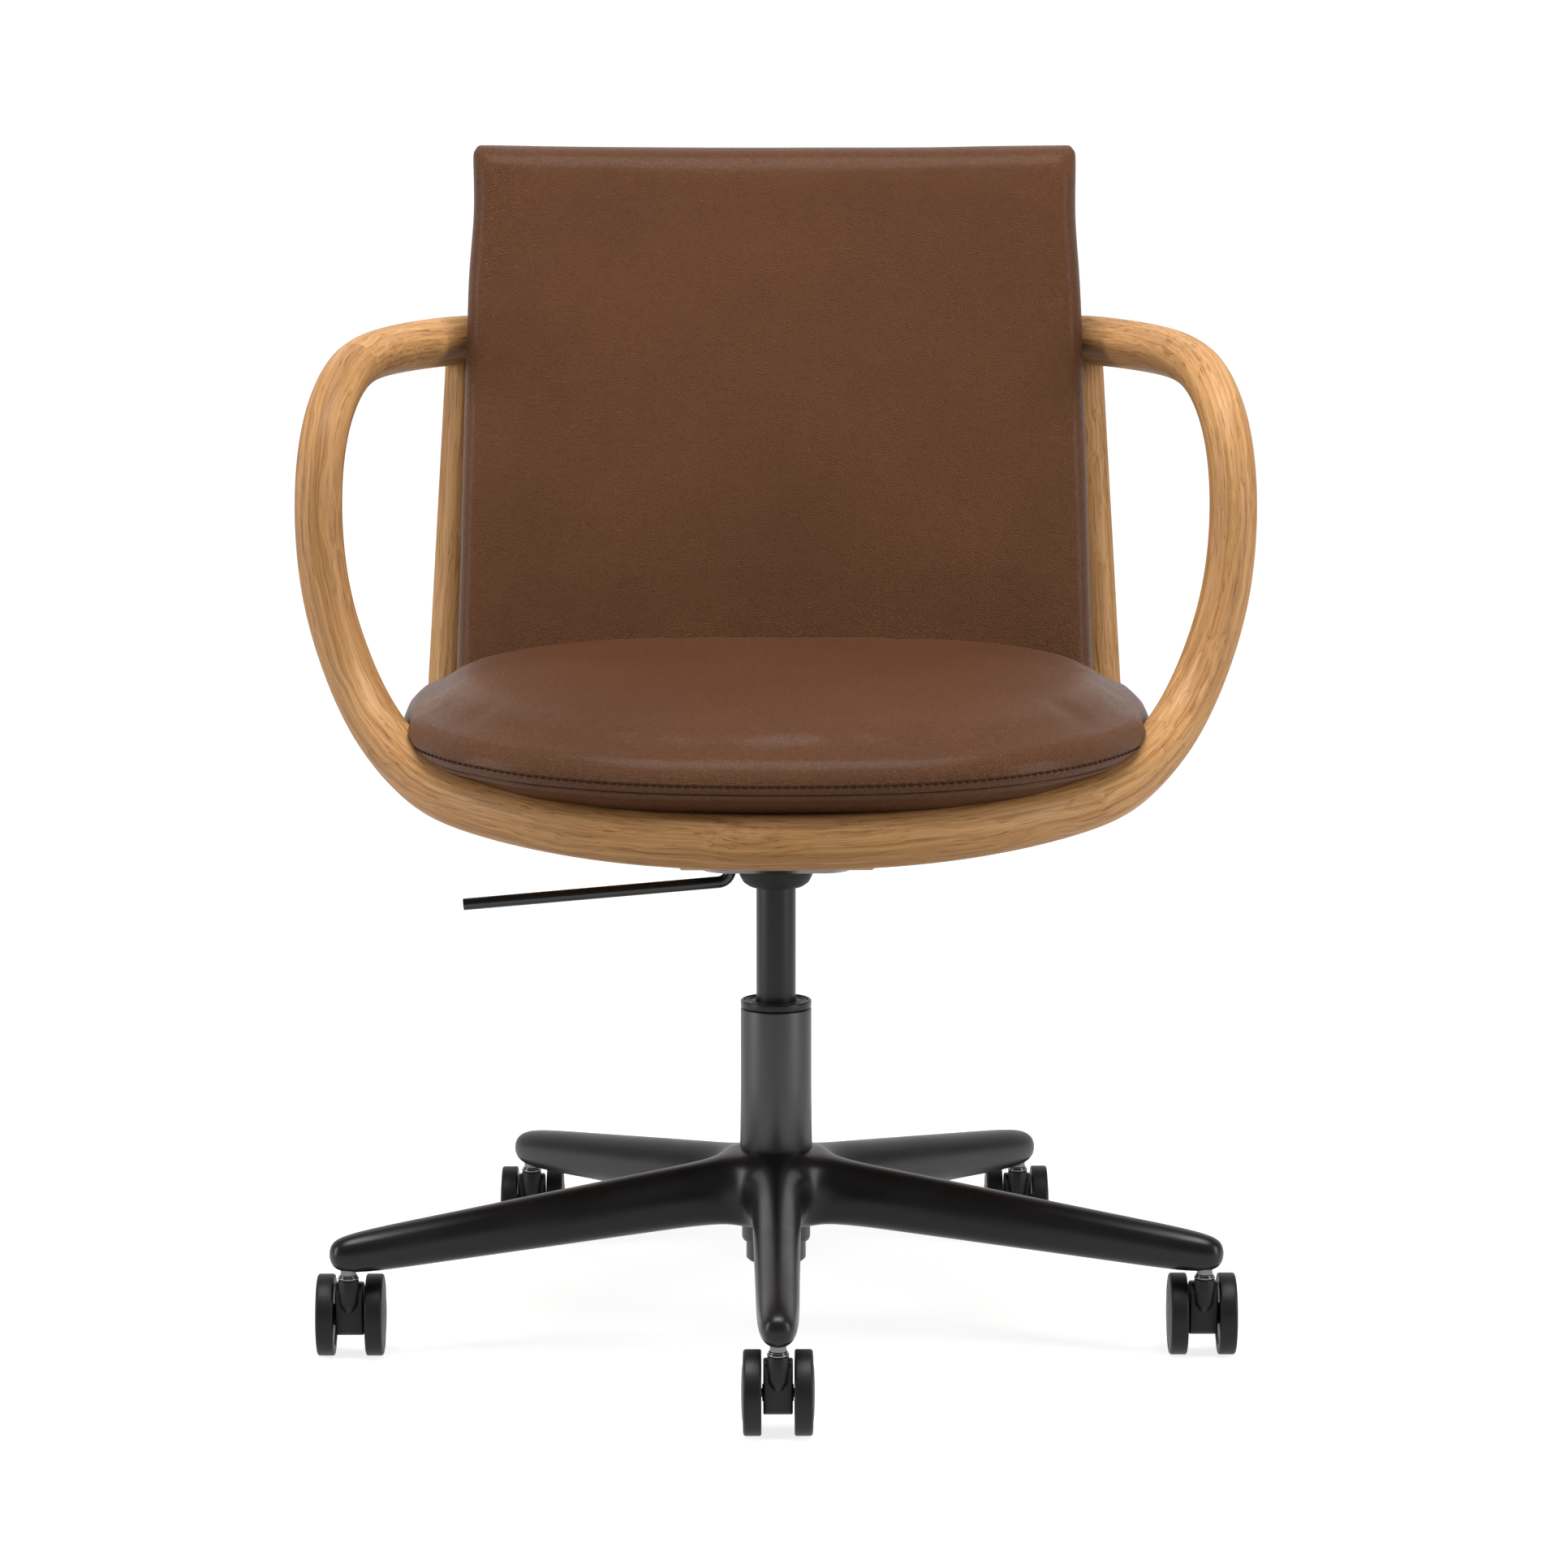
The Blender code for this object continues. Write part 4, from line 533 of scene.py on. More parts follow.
def build_block(name):
    """The block between the wheels, from its side outline, with the stem's tongue and the axle's bosses."""
    corners = [
        (0.0, 0.0552), (0.0, 0.0322), (0.0058, 0.0163), (0.0300, 0.0163), (0.0331, 0.0270),
        (0.0240, 0.0505), (0.0105, 0.0552),
    ]
    block = slab(name, corners, -BLOCK_HALF, BLOCK_HALF, STANDING)
    edit_with(block)
    pick(block, "edges", lambda edge: abs(edge.verts[0].co.x - edge.verts[1].co.x) > 0.01)
    bpy.ops.mesh.bevel(offset=0.0050, segments=6)
    bpy.ops.object.mode_set(mode="OBJECT")
    bevelled(block, 0.0011, 50)
    tongue = turned("tongue", eased([
        (0, 0.0352), (0.0030, 0.0352), (0.0064, 0.0400), (0.0072, 0.0500), (0.0072, BLOCK_TOP), (0, BLOCK_TOP),
    ], [0, 0.0012, 0.008, 0.008, 0.0008, 0]), 48)
    carve(block, tongue, "UNION")
    carve(block, plug("bosses", 0.0057, -0.0105, 0.0105, 40, ON_AXLE @ SIDEWAYS), "UNION")
    carve(block, plug("stem_bore", STEM_HOLE, 0.0462, 0.07, 40))
    smooth(block, 35)
    return block


def copied(piece, name, move):
    take(piece)
    bpy.ops.object.duplicate()
    twin = named(name)
    twin.location = move
    settle(twin)
    return twin


patterns = {
    "wheel_right": build_wheel("wheel_pattern_right", 1),
    "wheel_left": build_wheel("wheel_pattern_left", -1),
    "housing": build_block("block_pattern"),
    "stem": turned("stem_pattern", eased([
        (0, 0.0466), (0.0055, 0.0466), (0.0055, 0.0588), (0.0073, 0.0588), (0.0073, 0.0603), (0.0060, 0.0608),
        (0.0068, 0.0616), (0.0055, 0.0620), (0.0055, 0.0838), (0, 0.0838),
    ], [0, 0.0006, 0, 0.0006, 0.0006, 0.0002, 0.0003, 0, 0.0008, 0], 4), 48),
    "axle": turned("axle_pattern", eased([
        (0, -0.0204), (0.0030, -0.0204), (0.0030, 0.0204), (0, 0.0204)], [0, 0.0006, 0.0006, 0], 3), 32,
        ON_AXLE @ SIDEWAYS),
}
for number, (x, y) in enumerate(LEGS, start=1):
    place = (CASTER_CIRCLE * x, CASTER_CIRCLE * y, 0)
    for part, body, looks, slot in (
            ("wheel_right", f"caster_{number}_right", tread_black, "black_plastic"),
            ("wheel_left", f"caster_{number}_left", tread_black, "black_plastic"),
            ("housing", f"caster_{number}", nylon_black, "black_plastic"),
            ("stem", "base", bright_chrome, "chrome"), ("axle", f"caster_{number}", plain_steel, "steel")):
        twin = copied(patterns[part], f"caster_{number}_{part}_piece", place)
        finish_piece(twin, body, looks, slot, f"caster_{number}_{part}")
for pattern in patterns.values():
    bpy.data.objects.remove(pattern, do_unlink=True)


# Column and gas spring. The outer tube sits in the hub's bore on a slight taper, its stub and the spring's foot
# showing below, with a ring at its mouth. The spring's thinner cylinder slides in a plastic bush.

BUTTON_TOP = 0.3664
tube_grey = coated("dark_grey_metallic", (0.046, 0.046, 0.047), (0.064, 0.064, 0.065), (0.38, 0.43),
                   grain=2200.0, bump=0.00001, metallic=0.9)
spring_black = coated("spring_black_enamel", (0.010, 0.010, 0.011), (0.018, 0.018, 0.019), (0.30, 0.38),
                      grain=2000.0, bump=0.00001, metallic=0.2, specular=0.25)
bush_grey = coated("black_acetal", (0.006, 0.006, 0.006), (0.012, 0.012, 0.012), (0.42, 0.5), grain=2500.0)


def turned_part(name, body, looks, slot, sides, outline, radii, steps=5, place=None):
    """A turned piece with eased corners that takes its own node's place."""
    piece = turned(f"{name}_piece", eased(outline, radii, steps), sides, place)
    finish_piece(piece, body, looks, slot, name)


turned_part("column_tube", "base", tube_grey, "column_paint", 128, [
    (0.0060, 0.0500), (0.0192, 0.0500), (0.0212, 0.0520), (0.0212, 0.0650), (0.0235, 0.0650), (0.0243, 0.0672),
    (0.0243, 0.0800), (0.0252, 0.1308), (0.0256, 0.1316), (0.0251, 0.1768), (0.0251, 0.2320), (0.0242, 0.2329),
    (0.0229, 0.2329), (0.0229, 0.0760), (0.0182, 0.0710), (0.0182, 0.0560), (0.0060, 0.0560), (0.0060, 0.0500),
], [0, 0.0006, 0.0008, 0.0004, 0.0006, 0.0008, 0, 0, 0, 0, 0.0006, 0.0003, 0, 0, 0, 0, 0, 0])
turned_part("column_cap", "base", spring_black, "column_paint", 128, [
    (0.0229, 0.2334), (0.0251, 0.2334), (0.0251, 0.2384), (0.0229, 0.2384), (0.0229, 0.2334),
], [0, 0.0006, 0.0010, 0.0004, 0])
turned_part("guide_bush", "base", bush_grey, "grey_plastic", 96, [
    (0.0226, 0.1431), (0.0226, 0.2378), (0.0205, 0.2378), (0.0200, 0.2370), (0.0175, 0.2370), (0.0170, 0.2378),
    (0.0145, 0.2378), (0.0145, 0.1431), (0.0226, 0.1431),
], [0, 0.0008, 0.0003, 0.0003, 0.0003, 0.0003, 0.0008, 0, 0])
turned_part("thrust_bearing", "base", plain_steel, "steel", 64, [
    (0.0160, 0.0563), (0.0160, 0.0613), (0.0055, 0.0613), (0.0055, 0.0563), (0.0160, 0.0563),
], [0, 0.0006, 0.0006, 0, 0])
turned_part("piston_rod", "spindle", plain_steel, "steel", 48, [
    (0, 0.0461), (0.0044, 0.0461), (0.0050, 0.0471), (0.0050, 0.0616), (0.0082, 0.0616), (0.0082, 0.0648),
    (0.0050, 0.0658), (0.0050, 0.1960), (0.0115, 0.1960), (0.0115, 0.2080), (0, 0.2080),
], [0, 0, 0, 0, 0.0004, 0.0004, 0, 0, 0.0006, 0.0006, 0])
turned_part("retaining_clip", "spindle", plain_steel, "steel", 48, [
    (0.0090, 0.0471), (0.0090, 0.0497), (0.0053, 0.0497), (0.0053, 0.0471), (0.0090, 0.0471),
], [0, 0.0008, 0, 0, 0])
turned_part("gas_cylinder", "seat", spring_black, "column_paint", 96, [
    (0.0055, 0.1350), (0.0140, 0.1350), (0.0140, 0.3205), (0.0132, 0.3620), (0.0037, 0.3620), (0.0037, 0.3479),
    (0.0120, 0.3479), (0.0120, 0.1470), (0.0055, 0.1470), (0.0055, 0.1350),
], [0, 0.0010, 0, 0.0006, 0, 0, 0, 0, 0, 0])
turned_part("release_button", "button", plain_steel, "steel", 32, [
    (0, 0.3500), (0.0032, 0.3500), (0.0032, BUTTON_TOP), (0, BUTTON_TOP)], [0, 0, 0.0010, 0])


# Mechanism. A shallow black steel tray screwed up under the two bearers takes the spring's taper in a boss. A
# moulded bell hides the joint, and the lever drops through a slot beside it, bent once, to a long straight handle.

PLATE_BOTTOM = 0.3390
PLATE_TOP = 0.3432
BOSS_TOP = 0.3620
SLOT_HALF = 0.00475  # of the slot between the lugs
LUG_OUTER = 0.00775
LEVER_X = -0.0323
LEVER_RADIUS = 0.00425
LEVER_BEND = 0.0090
HANDLE_LENGTH = 0.1885
HANDLE_SLOPE = math.radians(5)
bell_black = coated("textured_black_moulding", (0.005, 0.005, 0.005), (0.013, 0.013, 0.013), (0.55, 0.68),
                    grain=1700.0, bump=0.00012, specular=0.25)
lever_black = coated("glossy_black_enamel", (0.0035, 0.0035, 0.0038), (0.007, 0.007, 0.0075), (0.16, 0.24),
                     grain=900.0, bump=0.000006, specular=0.45)


def block_between(name, low, high, corner_radius, edge_radius):
    """A box with its four upright corners and then its edges rounded."""
    take()
    low, high = Vector(low), Vector(high)
    bpy.ops.mesh.primitive_cube_add(size=1, location=(low + high) / 2, scale=high - low)
    piece = named(name)
    settle(piece)
    edit_with(piece)
    pick(piece, "edges", lambda edge: abs(edge.verts[0].co.z - edge.verts[1].co.z) > 1e-5)
    if corner_radius:
        bpy.ops.mesh.bevel(offset=corner_radius, segments=8)
    bpy.ops.object.mode_set(mode="OBJECT")
    if edge_radius:
        bevelled(piece, edge_radius, 40)
    smooth(piece, 35)
    return piece


tray = block_between("mechanism_plate_piece", (-0.0607, -0.0750, PLATE_BOTTOM), (0.0607, 0.0750, PLATE_TOP),
                     0.020, 0)
edit_with(tray)
pick(tray, "faces", lambda face: face.normal.z < -0.9)
bpy.ops.transform.resize(value=(0.827, 0.860, 1), center_override=(0, 0, PLATE_BOTTOM))
bpy.ops.object.mode_set(mode="OBJECT")
bevelled(tray, 0.0012, 25)
root = PLATE_TOP - 0.002
boss = turned("socket_boss", eased([(0, root), (0.0185, root), (0.0185, BOSS_TOP), (0, BOSS_TOP)],
                                   [0, 0, 0.0010, 0]), 64)
carve(tray, boss, "UNION")
for near, far in ((-LUG_OUTER, -SLOT_HALF), (SLOT_HALF, LUG_OUTER)):
    lug = block_between("lug", (LEVER_X - 0.0058, near, root), (LEVER_X + 0.0058, far, 0.3612), 0, 0.0003)
    carve(tray, lug, "UNION")
carve(tray, turned("taper_bore", [(0, 0.31), (0.0144, 0.31), (0.0143, 0.3623), (0, 0.3623)], 64))
carve(tray, plug("spring_bore", 0.0136, 0.34, 0.38, 64))
carve(tray, block_between("lever_slot", (LEVER_X - 0.0076, -SLOT_HALF, 0.32),
                          (LEVER_X + 0.00535, SLOT_HALF, 0.3472), 0.0035, 0))
at_pivot = Matrix.Translation((LEVER_X, 0, PLATE_TOP + 0.012)) @ Matrix.Rotation(math.pi / 2, 4, "X")
carve(tray, plug("pivot_hole", 0.0025, -0.02, 0.02, 32, at_pivot))
PLATE_SCREWS = [(x, y) for x in (-0.0455, 0.0455) for y in (-0.055, 0.055)]
for x, y in PLATE_SCREWS:
    hole = turned("screw_hole", [(0, 0.3365), (0.0042, 0.3365), (0.0042, 0.3390), (0.0027, 0.3412),
                                 (0.0027, 0.35), (0, 0.35)], 32, Matrix.Translation((x, y, 0)))
    carve(tray, hole)
smooth(tray, 30)
finish_piece(tray, "seat", satin_black, "black_paint", "mechanism_plate")

turned_part("lever_pivot", "seat", plain_steel, "steel", 32, [
    (0, -LUG_OUTER), (0.0022, -LUG_OUTER), (0.0022, LUG_OUTER), (0, LUG_OUTER),
], [0, 0.0005, 0.0005, 0], 3, at_pivot)

turned_part("socket_cover", "seat", bell_black, "black_plastic", 96, [
    (0.0143, 0.3200), (0.0192, 0.3200), (0.0232, 0.3228), (0.0262, 0.3285), (0.0274, 0.3340), (0.0282, 0.3387),
    (0.0143, 0.3387), (0.0143, 0.3200),
], [0, 0.0012, 0.004, 0.02, 0.01, 0.0004, 0, 0], 6)

for number, (x, y) in enumerate(PLATE_SCREWS, start=1):
    turned_part(f"plate_screw_{number}", "seat", plain_steel, "steel", 32, [
        (0, 0.3404), (0.0014, 0.3404), (0.0014, 0.3391), (0.0039, 0.3391), (0.0025, 0.3411), (0.0025, 0.3643),
        (0, 0.3650)], [0, 0, 0.0001, 0.0002, 0, 0, 0], 3, Matrix.Translation((x, y, 0)))


def rod_along(name, points, radius):
    """A round rod bent through points, made from a curve with a round bevel."""
    take()
    bpy.ops.curve.primitive_nurbs_path_add(location=(0, 0, 0))
    rod = bpy.context.object
    rod.name = name
    rod.data.splines.clear()
    line = rod.data.splines.new("POLY")
    line.points.add(len(points) - 1)
    for point, place in zip(line.points, points):
        point.co = (*place, 1)
    rod.data.dimensions = "3D"
    rod.data.bevel_depth = radius
    rod.data.bevel_resolution = 7
    rod.data.use_fill_caps = True
    bpy.ops.object.convert(target="MESH")
    rod = named(name)
    edit_with(rod)
    close_mesh(1e-6)
    return rod


low = PLATE_BOTTOM - 0.0160
arm = BUTTON_TOP + 0.0003 + LEVER_RADIUS
tip = (LEVER_X - HANDLE_LENGTH, 0, low - HANDLE_LENGTH * math.tan(HANDLE_SLOPE))
elbow, shoulder, end = (LEVER_X, 0, low), (LEVER_X, 0, arm), (0.0032, 0, arm)
route = [Vector(tip), *bend(elbow, tip, shoulder, LEVER_BEND),
         *bend(shoulder, elbow, end, LEVER_BEND), Vector(end)]
lever = rod_along("height_lever_piece", route, LEVER_RADIUS)
bevelled(lever, 0.0007, 60)
carve(lever, plug("pivot_hole", 0.0025, -0.02, 0.02, 32, at_pivot))
smooth(lever, 40)
finish_piece(lever, "lever", lever_black, "black_paint", "height_lever")


# Oak loop. Bent oak in six lengths makes one closed ring that runs under the front of the seat, up into the arms
# and round behind the back. The lengths meet in finger joints below and behind, and end to end in the arms.

LOOP_HALF_WIDTH = 0.3180
FRONT_RAIL_Y = -0.2380
ARM_UPRIGHT_Y = -0.0220
FRONT_RAIL_Z = 0.3885
ARM_WIDEST_Z = 0.5900
ARMREST_Z = 0.6860
RAIL_HALF = 0.0187
ARM_HALF = 0.0165
BACK_RAIL_HALF = 0.0180
LOOP_DEPTH_HALF = 0.0174
RAIL_ROUNDNESS = 2.3
ARM_ROUNDNESS = 2.0
SLIMMING = (0.49, 1.05)  # where the rail slims to the arm, in shares of the way to the widest point
FILLING = (1.12, 1.70)  # where it fills out again
FINGER_LENGTH = 0.0260
FINGER_WIDTH = 0.0095
JOINT_LINE = 0.00008  # left open by the glue line
STILE_TOP_X = 0.2291
STILE_FOOT_X = 0.2470
STILE_RADIUS = 0.0155
STILE_FOOT_ROUND = 0.005
BACK_THICKNESS = 0.0480
BACK_BOTTOM_HALF_WIDTH = 0.2341
SHELL_THICKNESS = 0.0100
GAP = 0.0003
LOWER_SWEEP = (
    (0.0, 0.0, 0.0), (0.371, 0.083, 0.020), (0.656, 0.343, 0.077), (0.764, 0.546, 0.136),
    (0.877, 0.824, 0.290), (0.948, 0.935, 0.512), (0.986, 0.972, 0.735), (1.0, 1.0, 1.0),
)
UPPER_SWEEP = (
    (0.990, 0.043, 0.490), (0.965, 0.160, 0.812), (0.930, 0.361, 0.965), (0.858, 0.654, 0.999),
    (0.733, 0.900, 1.0), (0.628, 0.948, 0.995), (0.377, 0.983, 0.979), (0.0, 1.0, 0.969),
)
STATIONS = 241
OAK_RELIEF = 0.00004


def back_middle(x, z):
    """Depth of the middle of the back cushion: leaning, hollowed across, and forward at the lumbar."""
    lean = 0.1900 + BACK_THICKNESS / 2 + (z - 0.4720) * math.tan(math.radians(10))
    return lean - 0.0225 * (x / BACK_BOTTOM_HALF_WIDTH) ** 2 - 0.0060 * math.exp(-((z - 0.5600) / 0.09) ** 2)


def shell_rear(x, z):
    return back_middle(x, z) + BACK_THICKNESS / 2 + GAP + SHELL_THICKNESS


def run_of(line):
    """Distance along a line of points from its start."""
    return np.concatenate([[0], np.cumsum(np.linalg.norm(np.diff(line, axis=0), axis=1))])


def spline_through(points, count):
    """Natural cubic spline, evenly spaced along its length, with its flat ends square to the middle plane."""
    points = np.array(points, float)
    steps = np.linalg.norm(np.diff(points, axis=0), axis=1) ** 0.5
    knots = np.concatenate([[0], np.cumsum(steps)])
    size = len(points)
    matrix, target = np.zeros((size, size)), np.zeros((size, 3))
    matrix[0, :2] = (2 * steps[0], steps[0])
    matrix[-1, -2:] = (steps[-1], 2 * steps[-1])
    first = np.array([abs(points[1, 0] - points[0, 0]), 0, 0]) / steps[0]
    last = np.array([-abs(points[-2, 0] - points[-1, 0]), 0, 0]) / steps[-1]
    target[0] = 6 * ((points[1] - points[0]) / steps[0] - first)
    target[-1] = 6 * (last - (points[-1] - points[-2]) / steps[-1])
    for i in range(1, size - 1):
        matrix[i, i - 1:i + 2] = (steps[i - 1], 2 * (steps[i - 1] + steps[i]), steps[i])
        ahead, behind = points[i + 1] - points[i], points[i] - points[i - 1]
        target[i] = 6 * (ahead / steps[i] - behind / steps[i - 1])
    pull = np.linalg.solve(matrix, target)

    def at(knot):
        i = min(int(np.searchsorted(knots, knot, side="right")) - 1, size - 2)
        a, b, h = knots[i + 1] - knot, knot - knots[i], steps[i]
        return ((pull[i] * a ** 3 + pull[i + 1] * b ** 3) / (6 * h)
                + (points[i] / h - pull[i] * h / 6) * a + (points[i + 1] / h - pull[i + 1] * h / 6) * b)

    fine = np.array([at(k) for k in np.linspace(0, knots[-1], 1200)])
    along = run_of(fine)
    wanted = np.linspace(0, along[-1], count)
    return np.stack([np.interp(wanted, along, fine[:, axis]) for axis in range(3)], axis=1)


BACK_RAIL_Z = ARM_WIDEST_Z + UPPER_SWEEP[-1][2] * (ARMREST_Z - ARM_WIDEST_Z)
BACK_RAIL_Y = shell_rear(0, BACK_RAIL_Z) + GAP + LOOP_DEPTH_HALF
sweep = [(LOOP_HALF_WIDTH * out, FRONT_RAIL_Y + back * (ARM_UPRIGHT_Y - FRONT_RAIL_Y),
          FRONT_RAIL_Z + up * (ARM_WIDEST_Z - FRONT_RAIL_Z)) for out, back, up in LOWER_SWEEP]
sweep += [(LOOP_HALF_WIDTH * out, ARM_UPRIGHT_Y + back * (BACK_RAIL_Y - ARM_UPRIGHT_Y),
           ARM_WIDEST_Z + up * (ARMREST_Z - ARM_WIDEST_Z)) for out, back, up in UPPER_SWEEP]
centre = spline_through(sweep, STATIONS)
pitch = float(np.linalg.norm(centre[1] - centre[0]))
way = np.gradient(centre, axis=0)
way /= np.linalg.norm(way, axis=1)[:, None]
way[0], way[-1] = (1, 0, 0), (-1, 0, 0)
across = [np.array([0.0, 0.0, 1.0])]
for direction in way[1:]:
    level = across[-1] - direction * across[-1].dot(direction)
    across.append(level / np.linalg.norm(level))
across = np.array(across)
third = np.cross(way, across)
widest = int(np.argmax(centre[:, 0]))
slim, full = [np.clip((np.arange(STATIONS) / widest - a) / (b - a), 0, 1) for a, b in (SLIMMING, FILLING)]
slim, full = slim ** 2 * (3 - 2 * slim), full ** 2 * (3 - 2 * full)
half_height = RAIL_HALF + (ARM_HALF - RAIL_HALF) * slim + (BACK_RAIL_HALF - ARM_HALF) * full
half_depth = LOOP_DEPTH_HALF + (ARM_HALF - LOOP_DEPTH_HALF) * (slim - full)
roundness = RAIL_ROUNDNESS + (ARM_ROUNDNESS - RAIL_ROUNDNESS) * (slim - full)


def nearest_station(axis, value, first=0, last=STATIONS):
    return first + int(np.argmin(np.abs(centre[first:last, axis] - value)))


def mesh_points(piece):
    points = np.empty(len(piece.data.vertices) * 3)
    piece.data.vertices.foreach_get("co", points)
    return points.reshape(-1, 3)


def store(piece, name, kind, key, values):
    piece.data.attributes.new(name, kind, "POINT").data.foreach_set(key, values)


def tube(name, rows, sides, place, mark=None):
    """A grid rolled into a tube with closed ends. Place gives a row's point at a turn, mark its seam value."""
    take()
    bpy.ops.mesh.primitive_grid_add(x_subdivisions=rows - 1, y_subdivisions=sides, size=1, location=(0, 0, 0))
    piece = named(name)
    where = [(round((v.co.x + 0.5) * (rows - 1)), math.tau * (v.co.y + 0.5)) for v in piece.data.vertices]
    if mark:
        store(piece, "seam", "FLOAT", "value", [mark(row, turn) for row, turn in where])
    for v, (row, turn) in zip(piece.data.vertices, where):
        v.co = place(row, turn)
    edit_with(piece)
    close_mesh(1e-6, capped=True)
    return piece


def rounded_square(half_a, half_b, power, turn):
    c, s = math.cos(turn), math.sin(turn)
    return (math.copysign(half_a * abs(c) ** (2 / power), c), math.copysign(half_b * abs(s) ** (2 / power), s))


def stave(name, route, swell=0.0, lead=0.0):
    """A length of the loop along a route of (station, side) pairs, its near end held back by a lead."""
    def place(row, turn):
        s, side = route[row]
        a, b = rounded_square(half_height[s] + swell, half_depth[s] + swell, roundness[s], turn)
        point = centre[s] + a * across[s] + b * third[s]
        if row == 0:
            point = point + lead * way[s]
        return side * point[0], point[1], point[2]

    return tube(name, len(route), 56, place)


def finger_block(name, station, side, far, gap):
    """Takes away the far or the near half of a joint of two fingers, and leaves a gap along its line."""
    reach, beyond, thick = FINGER_LENGTH / 2, 0.06, 0.05
    edges = [(-3, -1), (-1, -1), (-1, 1), (0, 1), (0, -1), (1, -1), (1, 1), (3, 1)]
    outline = []
    for i, (step, turn) in enumerate(edges):
        along, over = turn * reach + far * gap, step * FINGER_WIDTH
        if gap and 0 < i < len(edges) - 1:
            rising = edges[i][0] == edges[i - 1][0]
            neighbour = edges[i - 1][1] if rising else edges[i + 1][1]
            over += far * gap * (-1 if (turn > neighbour) == rising else 1)
        outline.append((along, over))
    outline += [(-far * beyond, 3 * FINGER_WIDTH), (-far * beyond, -3 * FINGER_WIDTH)]
    axes = [Vector((side * v[station][0], v[station][1], v[station][2])) for v in (way, across)]
    axes.append(axes[0].cross(axes[1]))
    place = Matrix(axes).transposed().to_4x4()
    place.translation = (side * centre[station][0], centre[station][1], centre[station][2])
    return slab(name, outline, -thick, thick, place)


def lay_grain(piece, line, level, board):
    """Stores each point's place along and across its board, which the wood's grain follows."""
    points = mesh_points(piece)
    ahead = np.gradient(line, axis=0)
    ahead = ahead / np.linalg.norm(ahead, axis=1)[:, None]
    run = run_of(line)
    nearest = np.array([np.argmin(((line - p) ** 2).sum(axis=1)) for p in points])
    off = points - line[nearest]
    over = level[nearest]
    beside = np.cross(ahead[nearest], over)
    grain = np.stack([run[nearest] + (off * ahead[nearest]).sum(axis=1), (off * over).sum(axis=1),
                      (off * beside).sum(axis=1)], axis=1)
    store(piece, "grain", "FLOAT_VECTOR", "vector", grain.ravel())
    store(piece, "board", "FLOAT", "value", np.full(len(points), float(board)))


def finish_stave(piece, route, node_name, board):
    mirror = np.array([[side, 1, 1] for s, side in route], float)
    stations = [s for s, side in route]
    lay_grain(piece, centre[stations] * mirror, across[stations] * mirror, board)
    smooth(piece, 35)
    finish_piece(piece, "seat", oak, "oak", node_name)


def stretched(tree, vector, along, over, through):
    return node(tree, "ShaderNodeMapping", {"Vector": vector, "Scale": (along, over, through)},
                vector_type="POINT").outputs[0]


def build_oak_group():
    """Oak seen along its grain: growth bands, fibres and pores, from a board's own along and across."""
    group, inside, outside = skin_group(
        "oak_grain", ("Grain", "NodeSocketVector", None), ("Board", "NodeSocketFloat", 0.0))
    board = inside.outputs["Board"]
    apart = calc(group, "MULTIPLY", board, 0.731)
    apart = node(group, "ShaderNodeCombineXYZ", enumerate([apart] * 3)).outputs[0]
    shifted = calc(group, "ADD", inside.outputs["Grain"], apart, kind="ShaderNodeVectorMath")
    sway = noise(group, stretched(group, shifted, 13.0, 30.0, 30.0), 1.0)
    sway = node(group, "ShaderNodeCombineXYZ", {"Y": sway, "Z": sway}).outputs[0]
    swayed = calc(group, "MULTIPLY_ADD", sway, (0, 0.013, 0.010), shifted, kind="ShaderNodeVectorMath")
    growth, fibre, pores = [
        noise(group, stretched(group, swayed, along, over, over), 1.0, detail, roughness)
        for along, over, detail, roughness in (
            (4.5, 300.0, 3.0, 0.62), (20.0, 800.0, 4.0, 0.68), (38.0, 900.0, 2.0, 0.5))]
    chance = node(group, "ShaderNodeTexWhiteNoise", {"W": board}, noise_dimensions="1D").outputs["Value"]
    colour = ramp(group, growth, [(0.30, (0.250, 0.120, 0.042)), (0.44, (0.343, 0.177, 0.068)),
                                  (0.54, (0.404, 0.219, 0.088)), (0.70, (0.467, 0.266, 0.114))])
    for factor, source, stops in (
            (0.85, fibre, [(0.32, (0.60, 0.52, 0.44)), (0.47, (0.93, 0.91, 0.88)), (0.60, (1.0, 1.0, 1.0))]),
            (0.75, pores, [(0.30, (0.42, 0.33, 0.26)), (0.39, (1.0, 1.0, 1.0))]),
            (1.0, chance, [(0.0, (0.90, 0.88, 0.85)), (1.0, (1.06, 1.05, 1.03))])):
        colour = mixed(group, "MULTIPLY", factor, colour, ramp(group, source, stops))
    return give(group, outside, colour, spread(group, fibre, 0.62, 0.46),
                calc(group, "MULTIPLY_ADD", pores, 0.6, fibre))


def wooden(name, grain_of):
    """A material of oak grain, its vector taken from the sockets that grain_of makes."""
    material, tree, shader = new_material(name)
    wood = node(tree, "ShaderNodeGroup", node_tree=oak_grain)
    vector, board = grain_of(tree)
    feed(tree, vector, wood.inputs["Grain"])
    feed(tree, board, wood.inputs["Board"])
    dress(tree, shader, wood, OAK_RELIEF)
    shader.inputs["Specular IOR Level"].default_value = 0.34
    shader.inputs["Specular Tint"].default_value = (1.0, 0.86, 0.68, 1)
    return material


def stored_grain(tree):
    grain = node(tree, "ShaderNodeAttribute", attribute_name="grain")
    board = node(tree, "ShaderNodeAttribute", attribute_name="board")
    return grain.outputs["Vector"], board.outputs["Fac"]


